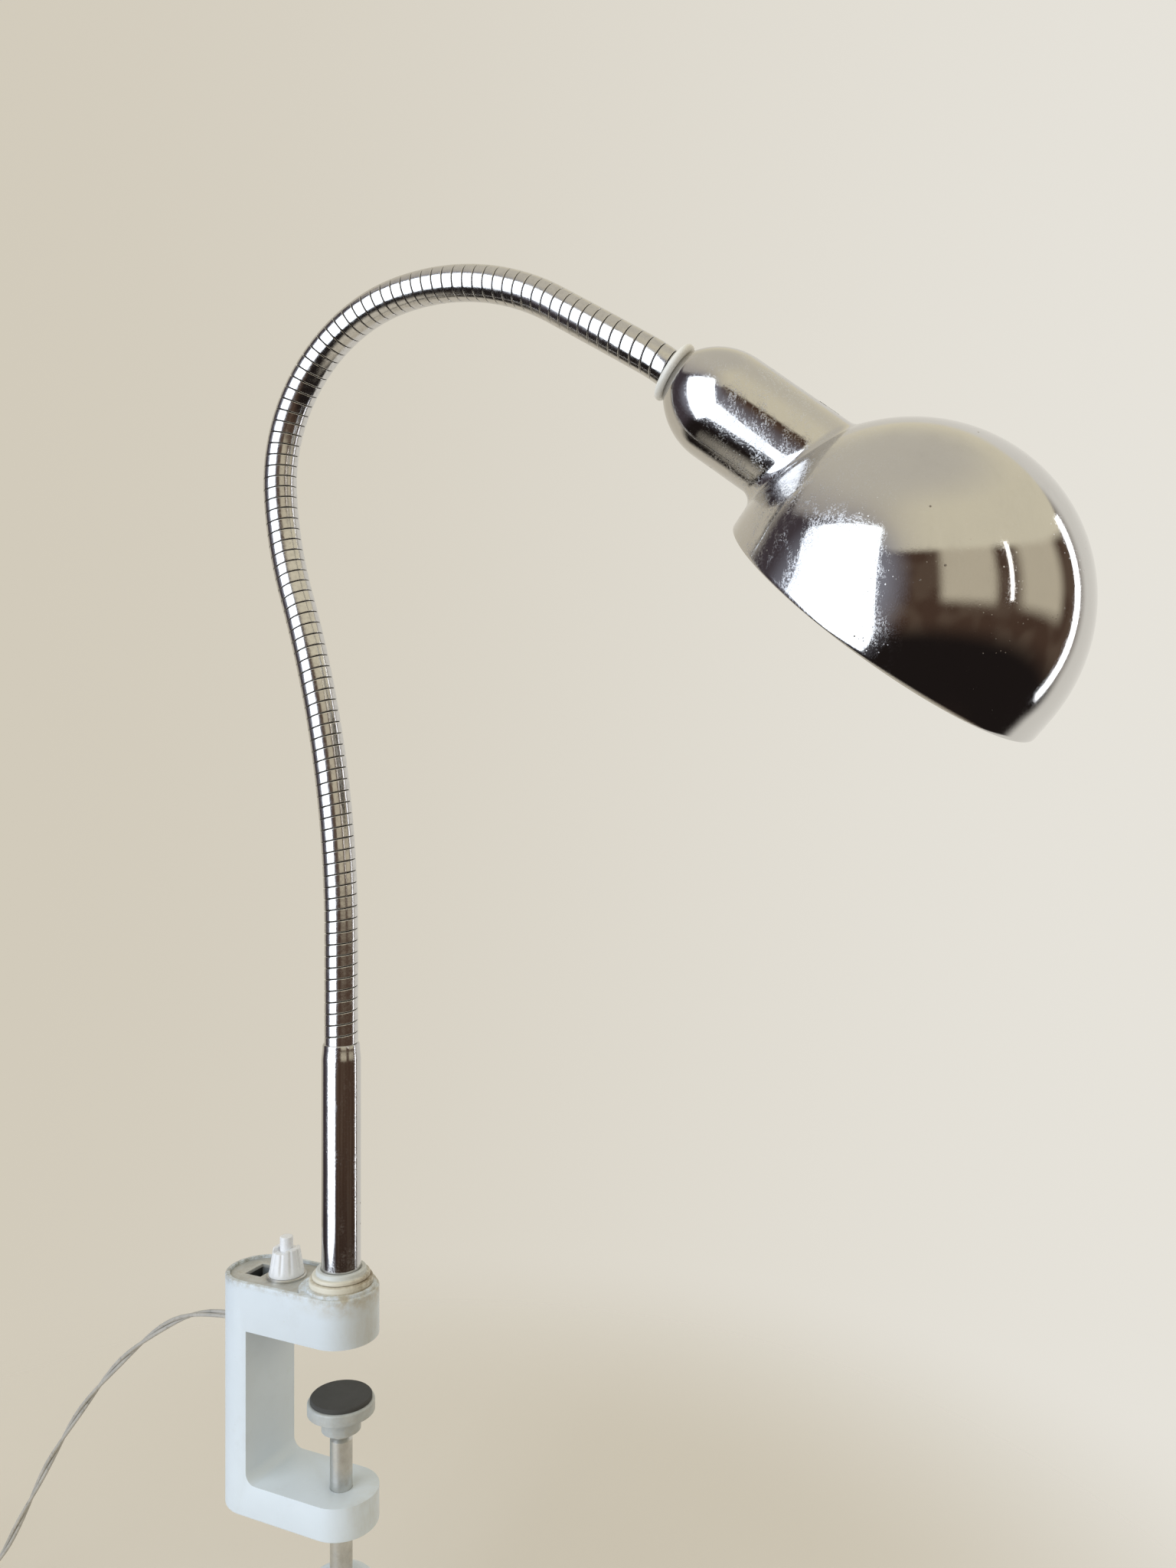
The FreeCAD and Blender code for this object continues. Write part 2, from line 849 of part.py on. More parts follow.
def screw_knob():
    """The fluted knob under the lower jaw."""
    body = new_body("screw_knob")
    top = -S.knob_top_drop
    foot = top - S.knob_height
    turn(body, [
        (0, foot),
        (S.knob_radius - 2.0, foot),
        (S.knob_radius, foot + 2.0),
        (S.knob_radius, top - 4.0),
        (S.knob_radius - 2.5, top - 1.5),
        (S.screw_radius + 3.0, top),
        (0, top),
    ])
    flute = new_sketch(body, "XY_Plane", top)
    draw_circle(flute, S.knob_radius + 1.9, 0, S.knob_flute_radius)
    groove = pocket(body, flute, S.knob_height)
    polar(body, groove, 8)
    return body


# Gooseneck

def rotated(vector, axis, angle):
    """A vector turned about an axis by an angle in radians."""
    return Rotation(axis, math.degrees(angle)).multVec(vector)


class NeckPath:
    """The neck's centreline: straight runs and arcs, each tangent to the last."""

    def __init__(self, start):
        self.runs = []
        point, along, side = start, UP, SIDEWAYS
        station = 0.0
        for length, turn_angle, kind in NECK_RUNS:
            axis = side if kind == IN_PLANE else along.cross(side)
            angle = math.radians(turn_angle)
            self.runs.append((station, length, point, along, side, axis, angle))
            point, along, side = self.on_run(self.runs[-1], length)
            station += length
        self.length = station

    @staticmethod
    def on_run(run, distance):
        """Place, direction and side vector at a distance along one run."""
        _, length, point, along, side, axis, angle = run
        if angle == 0:
            return point + along * distance, along, side
        swept = angle * distance / length
        radius = length / angle
        inward = axis.cross(along)
        place = point + along * (radius * math.sin(swept)) \
            + inward * (radius * (1 - math.cos(swept)))
        return place, rotated(along, axis, swept), rotated(side, axis, swept)

    def at(self, station):
        """Place, direction and side vector at a station; before 0 it runs straight."""
        for run in self.runs:
            if station <= run[0] + run[1]:
                return self.on_run(run, station - run[0])
        return self.on_run(self.runs[-1], station - self.runs[-1][0])

    def circle(self, station, radius):
        """A circle square to the path, whose start point keeps to the side vector."""
        place, along, side = self.at(station)
        ring = Part.makeCircle(radius)
        ring.Placement = Placement(place, Rotation(side, along.cross(side), along, "ZXY"))
        return Part.Wire([ring])

    def pipe(self, start, end, radius):
        """A round bar along the path between two stations."""
        stops = [start]
        stops += [run[0] for run in self.runs if start < run[0] < end]
        stops.append(end)
        edges = []
        for first, last in zip(stops, stops[1:]):
            points = [self.at(first + (last - first) * share + nudge)[0]
                      for share, nudge in ((0, 1e-9), (0.5, 0), (1, 0))]
            chord = points[2] - points[0]
            bulge = (points[1] - points[0]).cross(chord).Length / chord.Length
            if bulge < 1e-6:
                edges.append(Part.LineSegment(points[0], points[2]).toShape())
            else:
                edges.append(Part.Arc(*points).toShape())
        return Part.Wire(edges).makePipeShell([self.circle(start, radius)], True, False)


NECK = NeckPath(Vector(0, 0, S.tube_top.number))


def pitch():
    """Length of one turn of the hose."""
    return S.hose_pitch.number


def joint_stations():
    """Where the neck bends: half a link above the tube, then one link apart."""
    link = pitch() * S.link_turns.number
    return [link / 2 + link * number for number in range(LINK_COUNT + 1)]


def ribbed_hose(start, end, plain_start=None):
    """The outside of the hose: one land and one groove to each turn."""
    groove = S.hose_groove_radius.number
    land = S.hose_radius.number
    half = S.hose_groove_half.number
    rings = []
    if plain_start is not None:
        rings.append((plain_start, S.tube_radius.number - S.tube_wall.number))
        rings.append((start - 0.05, S.tube_radius.number - S.tube_wall.number))
    rings.append((start, groove))
    first = math.floor(start / pitch() + 1e-6)
    last = math.ceil(end / pitch() - 1e-6)
    for number in range(first, last):
        low = max(number * pitch(), start)
        high = min((number + 1) * pitch(), end)
        if high - low < 3 * half:
            continue
        rings.append((low + half, land))
        rings.append((high - half, land))
        if high < end - 1e-6:
            rings.append((high, groove))
    rings.append((end, groove))
    wires = [NECK.circle(station, radius) for station, radius in rings]
    return Part.makeLoft(wires, True, True)


def half_space(station, upwards):
    """A large block on one side of a plane square to the path."""
    place, along, _ = NECK.at(station)
    size = 4 * S.hose_radius.number
    block = Part.makeBox(size, size, size, Vector(-size / 2, -size / 2, 0))
    direction = along if upwards else along * -1
    block.Placement = Placement(place, Rotation(UP, direction))
    return block


def joint_ball(station):
    """The hollow ball that stands out of a link and fits inside the next one."""
    place = NECK.at(station)[0]
    ball = Part.makeSphere(S.joint_ball_radius.number, place)
    ball = ball.common(half_space(station - S.joint_gap.number / 2 - 0.5, True))
    ball = ball.common(half_space(station + 2.4, False))
    return ball.cut(NECK.pipe(station - 4, station + 4, S.joint_bore_radius.number))


def hose_link(label, start, end, socket=True, ball=True, plain_start=None):
    """One length of the hose between two joints, with its bore, socket and ball."""
    gap = S.joint_gap.number / 2
    low = start + gap if socket else start
    high = end - gap if ball else end
    outside = ribbed_hose(low, high, plain_start)
    lowest = low if plain_start is None else plain_start
    link = outside.cut(NECK.pipe(lowest - 1, high + 1, S.hose_bore_radius.number))
    if socket:
        place = NECK.at(start)[0]
        link = link.cut(Part.makeSphere(S.joint_socket_radius.number, place))
    if ball:
        link = link.fuse(joint_ball(end))
    return shaped_part(label, link)


def gooseneck():
    """The hose's foot in the tube, its links, and its end in the head."""
    joints = joint_stations()
    hose_link("neck_foot", 0.0, joints[0], socket=False,
              plain_start=-S.hose_in_tube.number)
    for number in range(LINK_COUNT):
        hose_link(f"neck_link_{number + 1}", joints[number], joints[number + 1])
    hose_link("neck_end", joints[-1], S.hose_end_station.number, ball=False)


# Head

def head_frame():
    """The head's own frame: Z along the lampholder, X towards the shade's crown."""
    place, along, _ = NECK.at(S.ring_station.number)
    level = UP.cross(along).normalize()
    crown = along.cross(level)
    rolled = rotated(crown, along, math.radians(S.head_roll.number))
    return Placement(place, Rotation(rolled, along.cross(rolled), along, "ZXY"))


HEAD = head_frame()


def neck_ring():
    """The white ring between the hose and the socket cover."""
    half = S.ring_thickness * 0.5
    body = new_body("neck_ring", HEAD)
    turn(body, [
        (S.ring_bore_radius, -half),
        (S.ring_radius - half, -half, half),
        (S.ring_radius, 0, half),
        (S.ring_radius - half, half),
        (S.ring_bore_radius, half),
    ])
    return body


def neck_nipple():
    """The threaded end fitting that holds hose, cover and lampholder together."""
    seat = S.ring_thickness * 0.5 + S.cover_wall
    return turned_body("neck_nipple", [
        (S.joint_bore_radius, -4.0),
        (S.hose_bore_radius, -4.0),
        (S.hose_bore_radius, seat),
        (S.nipple_flange_radius, seat),
        (S.nipple_flange_radius, seat + 2.2),
        (S.nipple_radius, seat + 2.2),
        (S.nipple_radius, S.holder_back - 2.5),
        (S.joint_bore_radius, S.holder_back - 2.5),
    ], HEAD)


def at_shade():
    """Centre of the shade's dome, with the dome's axis along the head's X."""
    centre = Vector(-S.shade_offset.number, 0, S.shade_reach.number)
    return Placement(centre, Rotation(HEADWARDS, SIDEWAYS * -1, HEADWARDS, "ZXY"))


def in_head(local):
    """A place of the head's own frame, in the lamp's frame."""
    return HEAD.multiply(local)


def socket_cover():
    """The drawn cover over the lampholder, cut to sit on the shade's collar."""
    seat = S.ring_thickness * 0.5
    inner = S.cover_radius - S.cover_wall
    shoulder = S.cover_shoulder_radius
    inner_shoulder = shoulder - S.cover_wall
    centre = S.cover_radius - shoulder
    depth = S.cover_shoulder_end - seat - S.cover_wall
    inner_flat = centre + leg(inner_shoulder, depth)
    outer_flat = centre + leg(shoulder, S.cover_shoulder_end - seat)
    body = new_body("cover_blank")
    PARTS.remove(body)
    turn(body, [
        (S.ring_bore_radius + 0.1, seat),
        (outer_flat, seat, shoulder),
        (S.cover_radius, S.cover_shoulder_end),
        (S.cover_radius, S.shade_reach),
        (inner, S.shade_reach),
        (inner, S.cover_shoulder_end, -inner_shoulder),
        (inner_flat, seat + S.cover_wall),
        (S.ring_bore_radius + 0.1, seat + S.cover_wall),
    ])
    slit = new_sketch(body, "YZ_Plane", S.cover_radius - 4)
    half = S.slot_width * 0.5
    eye = S.slot_eye_width * 0.5
    neck = S.slot_start + S.slot_eye_length
    draw_outline(slit, [
        (-eye, S.slot_start),
        (eye, S.slot_start),
        (eye, neck),
        (half, neck),
        (half, S.shade_reach),
        (-half, S.shade_reach),
        (-half, neck),
        (-eye, neck),
    ])
    pocket(body, slit, 8, backwards=True)
    sphere = primitive("Sphere", "cover_seat", at_shade(),
                       Radius=S.shade_radius + S.collar_rise)
    cover = cut("socket_cover", body, sphere)
    cover.Label = "socket_cover"
    cover.Placement = HEAD
    PARTS.append(cover)
    return cover


def helper_body(label, corners, placement):
    """A turned body that is only a step towards a part."""
    body = turned_body(label, corners, placement)
    PARTS.remove(body)
    return body


def dome_outline(radius, skirt):
    """Half the section of a dome with a straight skirt, closed on its axis."""
    return [
        (0, -skirt),
        (radius, -skirt),
        (radius, 0, radius),
        (0, radius),
    ]


def shade():
    """The spun shade: a dome with a short skirt, and a flared collar at its side."""
    outside = helper_body("shade_outside", dome_outline(S.shade_radius, S.shade_skirt),
                          at_shade())
    spout = primitive("Cylinder", "shade_spout", Radius=S.cover_radius,
                      Height=S.shade_reach)
    reach = primitive("Sphere", "shade_spout_end", at_shade(),
                      Radius=S.shade_radius + S.collar_rise)
    collar = common("shade_collar", spout, reach)
    blank = fused("shade_blank", outside, collar)
    DOC.recompute()
    centre = at_shade().Base

    def at_junction(middle, edge):
        from_centre = (middle - centre).Length - S.shade_radius.number
        from_axis = math.hypot(middle.x, middle.y) - S.cover_radius.number
        return abs(from_centre) < 1e-3 and abs(from_axis) < 1e-3

    flared = DOC.addObject("Part::Fillet", "shade_flared")
    flared.Base = blank
    size = S.collar_fillet.number
    names = edges_where(blank.Shape, at_junction)
    flared.Edges = [(int(name[4:]), size, size) for name in names]

    sleeve = primitive("Cylinder", "shade_sleeve", Height=S.sleeve_length + 12,
                       Radius=S.cover_radius - S.cover_wall - 0.05)
    foot = S.shade_reach - S.shade_radius - S.collar_rise - S.sleeve_length
    sleeve.Placement = Placement(Vector(0, 0, foot.number), Rotation())
    solid = fused("shade_solid", flared, sleeve)

    inside = helper_body(
        "shade_inside",
        dome_outline(S.shade_radius - S.shade_wall, S.shade_skirt + 1), at_shade())
    bore = primitive("Cylinder", "shade_bore", Height=S.shade_reach,
                     Radius=S.cover_radius - S.cover_wall * 2 - 0.05)
    hollow = fused("shade_hollow", inside, bore)
    shell = cut("shade_shell", solid, hollow)
    rim = primitive("Torus", "shade_rim", Radius1=S.shade_radius - S.bead_radius,
                    Radius2=S.bead_radius)
    low = at_shade().multiply(Placement(Vector(0, 0, -S.shade_skirt.number), Rotation()))
    rim.Placement = low
    item = fused("shade", shell, rim)
    item.Label = "shade"
    item.Placement = HEAD
    PARTS.append(item)
    return item


def holder_cap():
    """The back of the lampholder, which screws on to the nipple."""
    seat = S.ring_thickness * 0.5 + S.cover_wall + 2.2
    return turned_body("holder_cap", [
        (S.nipple_radius, seat),
        (S.holder_radius - 5.0, seat),
        (S.holder_radius, seat + 6.0),
        (S.holder_radius, S.holder_back),
        (S.nipple_radius, S.holder_back),
    ], HEAD)


def lampholder():
    """The moulded lampholder, open towards the lamp."""
    mouth = S.holder_back + S.holder_length
    return turned_body("lampholder", [
        (0, S.holder_back),
        (S.holder_radius, S.holder_back),
        (S.holder_radius, mouth - 0.6),
        (S.holder_radius - 0.6, mouth),
        (S.holder_bore, mouth),
        (S.holder_bore, S.holder_back + 4.0),
        (0, S.holder_back + 4.0),
    ], HEAD)


def holder_ring():
    """The ring that centres the lampholder in its cover."""
    foot = S.holder_back + 9.0
    return turned_body("holder_ring", [
        (S.holder_radius, foot),
        (S.cover_radius - S.cover_wall, foot),
        (S.cover_radius - S.cover_wall, foot + 3.0),
        (S.holder_radius, foot + 3.0),
    ], HEAD)


def lamp_shell():
    """The brass sleeve that the lamp's cap screws into."""
    foot = S.holder_back + 8.0
    inner = S.shell_radius - S.shell_wall
    return turned_body("lamp_shell", [
        (inner, foot),
        (S.holder_bore, foot),
        (S.holder_bore, foot + 0.8),
        (S.shell_radius, foot + 0.8),
        (S.shell_radius, foot + 17.0),
        (inner, foot + 17.0),
    ], HEAD)


def lamp_contact():
    """The sprung contact at the bottom of the lampholder."""
    foot = S.holder_back + 4.0
    return turned_body("lamp_contact", [
        (0, foot),
        (3.2, foot),
        (3.2, foot + 0.6),
        (1.6, foot + 1.2),
        (1.6, S.lamp_contact),
        (0, S.lamp_contact),
    ], HEAD)


def lamp_cap():
    """The lamp's screw cap, with the end contact."""
    foot = S.lamp_contact
    return turned_body("lamp_cap", [
        (0, foot),
        (2.4, foot),
        (2.4, foot + 1.5),
        (S.lamp_cap_radius, foot + 3.5),
        (S.lamp_cap_radius, foot + 17.5),
        (S.lamp_neck_radius, foot + 19.5),
        (0, foot + 19.5),
    ], HEAD)


def lamp_glass():
    """The round lamp's blown envelope."""
    foot = S.lamp_contact + 19.5
    centre = S.lamp_contact + S.lamp_length - S.lamp_radius
    lean = math.radians(55)
    inner_radius = S.lamp_radius - S.lamp_wall
    neck = S.lamp_neck_radius
    waist = S.lamp_radius * math.cos(lean) - neck
    flare = waist * (1 / (1 - math.cos(lean)))
    inner_neck = neck - S.lamp_wall
    inner_flare = flare + S.lamp_wall
    join = centre - S.lamp_radius * math.sin(lean)
    inner_join = centre - inner_radius * math.sin(lean)
    neck_top = join - flare * math.sin(lean)
    return turned_body("lamp_glass", [
        (inner_neck, foot),
        (neck, foot),
        (neck, neck_top, -flare),
        (S.lamp_radius * math.cos(lean), join, S.lamp_radius),
        (0, centre + S.lamp_radius),
        (0, centre + inner_radius, -inner_radius),
        (inner_radius * math.cos(lean), inner_join, inner_flare),
        (inner_neck, neck_top),
    ], HEAD)


# Cord

def cord_edges(points, radii):
    """Straight runs joined by tangent arcs as large as the runs beside them allow."""
    points = [Vector(*point) for point in points]
    edges = []
    start = points[0]
    for before, corner, after in zip(points, points[1:], points[2:]):
        into = (corner - before).normalize()
        out = (after - corner).normalize()
        half_turn = into.getAngle(out) / 2
        run = min((corner - before).Length, (after - corner).Length)
        radius = 0.45 * run / math.tan(half_turn)
        radii.append(radius)
        setback = radius * math.tan(half_turn)
        first = corner - into * setback
        last = corner + out * setback
        inward = (out - into).normalize()
        middle = corner + inward * (radius / math.cos(half_turn) - radius)
        edges.append(Part.LineSegment(start, first).toShape())
        edges.append(Part.Arc(first, middle, last).toShape())
        start = last
    edges.append(Part.LineSegment(start, points[-1]).toShape())
    return edges


def swept_tube(edges, section):
    """A solid of one section along a chain of edges, in default mode."""
    return Part.Wire(edges).makePipeShell([section], True, False)


def eight_sided(centre, radius):
    """An eight-sided section round a tube along Y, with flats on all four sides."""
    turns = [math.radians(22.5 + 45 * corner) for corner in range(9)]
    return Part.makePolygon([
        centre + Vector(radius * math.cos(turned), 0, radius * math.sin(turned))
        for turned in turns
    ])


def report_tube(label, solid, edges, section):
    """Print a tube's length, and its volume against its section times its length."""
    length = sum(edge.Length for edge in edges)
    expected = Part.Face(section).Area * length
    print(f"{label}: length {length:.1f}, volume {solid.Volume:.1f} for {expected:.1f}")


def free_cord(label, route):
    """A free stretch of cord as one plain round tube."""
    radii = []
    edges = cord_edges(route, radii)
    start = Vector(*route[0])
    circle = Part.makeCircle(S.cord_radius.number, start, Vector(*route[1]) - start)
    section = Part.Wire([circle])
    solid = swept_tube(edges, section)
    report_tube(label, solid, edges, section)
    print(f"{label}: bend radii", ", ".join(f"{value:.0f}" for value in radii))
    return shaped_part(label, solid)


def coil_edges():
    """Half turns that spiral in, climb, spiral out and climb again."""
    edges = [Part.LineSegment(Vector(COIL_OUTER, -COIL_LEAD, 0),
                              Vector(COIL_OUTER, 0, 0)).toShape()]
    radius, height, side, inwards = COIL_OUTER, 0.0, 1, True
    for layer in range(COIL_LAYERS):
        last_layer = layer == COIL_LAYERS - 1
        steps = COIL_TURNS_IN_LAYER - 1 if last_layer else COIL_TURNS_IN_LAYER
        moves = [COIL_STEP * (-1 if inwards else 1)] * steps
        rises = [0.0] * steps
        if not last_layer:
            moves.append(0.0)
            rises.append(COIL_LAYER_RISE)
        for move, rise in zip(moves, rises):
            start = Vector(side * radius, 0, height)
            radius += move
            height += rise
            end = Vector(-side * radius, 0, height)
            middle = (start + end) * 0.5 + SIDEWAYS * (side * (end - start).Length / 2)
            edges.append(Part.Arc(start, middle, end).toShape())
            side = -side
        inwards = not inwards
    last = Vector(side * radius, 0, height)
    edges.append(Part.LineSegment(last, last + SIDEWAYS * (side * COIL_LEAD)).toShape())
    return edges


def least_gap(edges, radius):
    """The least distance between turns that aren't neighbours along the cord."""
    step = radius
    points, stations, total = [], [], 0.0
    for edge in edges:
        count = max(2, int(edge.Length / step))
        for number, point in enumerate(edge.discretize(count)[:-1]):
            points.append(point)
            stations.append(total + edge.Length * number / (count - 1))
        total += edge.Length
    least = math.inf
    apart = 8 * radius
    for number, point in enumerate(points):
        for other in range(number + 1, len(points)):
            if stations[other] - stations[number] > apart:
                least = min(least, point.distanceToPoint(points[other]))
    return least - 2 * radius


def cord_coil():
    """The rest of the cord, put away as one wound coil."""
    edges = coil_edges()
    radius = S.cord_radius.number
    section = eight_sided(edges[0].firstVertex().Point, radius)
    solid = swept_tube(edges, section)
    report_tube("cord_coil", solid, edges, section)
    print(f"cord_coil: least gap to itself {least_gap(edges, radius):.2f}")
    return shaped_part("cord_coil", solid, at_coil())


def at_coil():
    """The coil lies flat, lifted by the tie that passes under it."""
    height = S.cord_radius + S.tie_play + S.tie_thickness
    place = Vector(COIL_CENTRE[0], COIL_CENTRE[1], height.number - SURFACE_DROP)
    return Placement(place, Rotation(UP, 90))


def coil_tie():
    """The band that holds the coil's turns together, opposite the two ends."""
    body = new_body("coil_tie", at_coil())
    inner = COIL_OUTER - COIL_STEP * COIL_TURNS_IN_LAYER
    height = COIL_LAYER_RISE * (COIL_LAYERS - 1)
    plan = new_sketch(body, "XZ_Plane")
    for margin, corner in ((S.tie_play, 1.2), (S.tie_play + S.tie_thickness, 1.7)):
        edge = S.cord_radius + margin
        left, right = -(edge + COIL_OUTER), edge - inner
        low, high = -edge, edge + height
        draw_outline(plan, [
            (left + corner, low),
            (right - corner, low, corner),
            (right, low + corner),
            (right, high - corner, corner),
            (right - corner, high),
            (left + corner, high, corner),
            (left, high - corner),
            (left, low + corner, corner),
        ])
    pad(body, plan, S.tie_width, symmetric=True)
    return body


def at_plug():
    """The plug lies flat, its back towards the cord."""
    place = Vector(PLUG_REAR[0], PLUG_REAR[1], S.plug_height.number / 2 - SURFACE_DROP)
    return Placement(place, Rotation(HEADWARDS, 90))


def plug_body():
    """The flat moulded body of a two-pin plug, waisted for the fingers."""
    body = new_body("plug_body", at_plug())
    plan = new_sketch(body, "YZ_Plane")
    half = S.plug_height * 0.5
    wide = S.plug_width * 0.5
    body_start = 9.0
    draw_outline(plan, [
        (-3.2, 0),
        (3.2, 0),
        (4.0, body_start),
        (half, body_start + 5.0),
        (half, S.plug_length),
        (-half, S.plug_length),
        (-half, body_start + 5.0),
        (-4.0, body_start),
    ])
    pad(body, plan, S.plug_width, symmetric=True)
    trim = new_sketch(body, "XZ_Plane")
    outside = S.plug_width
    for side in (-1, 1):
        corners = [
            (outside * side, -1.0),
            (outside * side, S.plug_length - 9.0),
            (wide * side, S.plug_length - 9.0),
            (wide * (0.72 * side), body_start + 6.0),
            (Length(3.4 * side, f"({3.4 * side})"), body_start),
            (Length(2.6 * side, f"({2.6 * side})"), -1.0),
        ]
        draw_outline(trim, corners)
    pocket(body, trim, S.plug_width, symmetric=True)
    return body


def plug_pins():
    """Two round pins, one solid each."""
    pins = []
    tip = S.pin_radius.number
    shank = S.pin_length.number - tip
    for side in (-1, 1):
        base = Vector(side * S.pin_spacing.number / 2, 0, S.plug_length.number)
        pin = Part.makeCylinder(tip, shank, base)
        pin = pin.fuse(Part.makeSphere(tip, base + UP * shank))
        pins.append(pin.removeSplitter())
    return shaped_part("plug_pins", Part.makeCompound(pins), at_plug())


def build():
    """Make every sub-part, from the clamp to the plug."""
    for make in (
        clamp_body, top_plate, cord_grommet,
        switch_body, switch_terminals, switch_washer, switch_nut, switch_button,
        button_spring,
        tube_bush, column_tube, column_collar, column_clip,
        pad_liner, swivel_pad, clamp_screw, screw_knob,
        gooseneck,
        neck_ring, neck_nipple, socket_cover, shade,
        holder_cap, lampholder, holder_ring, lamp_shell, lamp_contact,
        lamp_cap, lamp_glass,
    ):
        make()
    free_cord("cord_lead", CORD_ROUTE)
    cord_coil()
    coil_tie()
    free_cord("cord_tail", TAIL_ROUTE)
    plug_body()
    plug_pins()


def check_document():
    """Stop if an object of the document has failed."""
    DOC.recompute()
    failed = [item.Label for item in DOC.Objects
              if {"Invalid", "Error"} & set(item.State)]
    if failed:
        raise RuntimeError(f"failed objects: {failed}")
    for part in PARTS:
        shape = part.Shape
        if shape.isNull() or not shape.isValid() or not shape.Solids:
            raise RuntimeError(f"{part.Label} has no valid solid")


def write_parts():
    """Write each sub-part to a file named after it."""
    os.makedirs("parts", exist_ok=True)
    for part in PARTS:
        part.Shape.exportStep(f"parts/{part.Label}.step")


build()
check_document()
write_parts()
print(f"{len(PARTS)} sub-parts written")
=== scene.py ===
"""Looks of the clamp-on gooseneck lamp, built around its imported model.

Lengths are in metres. +Z is up, +X runs along the clamp's jaws towards the shade, and
the origin is on the seat of the upper jaw, at the column's axis.
"""

import logging
import math
from dataclasses import dataclass, field
from enum import Enum
from typing import Optional, Sequence

import bmesh
import bpy
from mathutils import Matrix, Vector

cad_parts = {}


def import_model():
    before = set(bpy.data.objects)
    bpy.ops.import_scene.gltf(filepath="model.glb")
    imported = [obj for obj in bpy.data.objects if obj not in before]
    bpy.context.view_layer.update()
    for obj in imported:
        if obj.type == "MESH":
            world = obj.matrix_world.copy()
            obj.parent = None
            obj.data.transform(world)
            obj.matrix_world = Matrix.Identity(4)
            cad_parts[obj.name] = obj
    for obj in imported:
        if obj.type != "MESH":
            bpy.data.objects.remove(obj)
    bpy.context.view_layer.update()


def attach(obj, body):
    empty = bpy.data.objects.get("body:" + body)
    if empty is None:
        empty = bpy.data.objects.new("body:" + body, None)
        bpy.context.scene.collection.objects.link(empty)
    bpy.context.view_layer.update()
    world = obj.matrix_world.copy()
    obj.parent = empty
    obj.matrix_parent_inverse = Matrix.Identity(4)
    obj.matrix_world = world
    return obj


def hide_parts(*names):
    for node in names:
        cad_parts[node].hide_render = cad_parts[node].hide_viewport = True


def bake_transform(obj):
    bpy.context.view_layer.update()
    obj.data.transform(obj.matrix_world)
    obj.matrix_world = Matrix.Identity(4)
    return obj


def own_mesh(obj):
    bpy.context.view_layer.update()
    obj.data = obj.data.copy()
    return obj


LOG = logging.getLogger("lamp")
MM = 0.001
Colour = tuple[float, float, float]
Point = tuple[float, float, float]


def mm(*values: float) -> Vector:
    """A point given in millimetres, as a vector in metres."""
    return Vector(values) * MM


# Modelling by hand

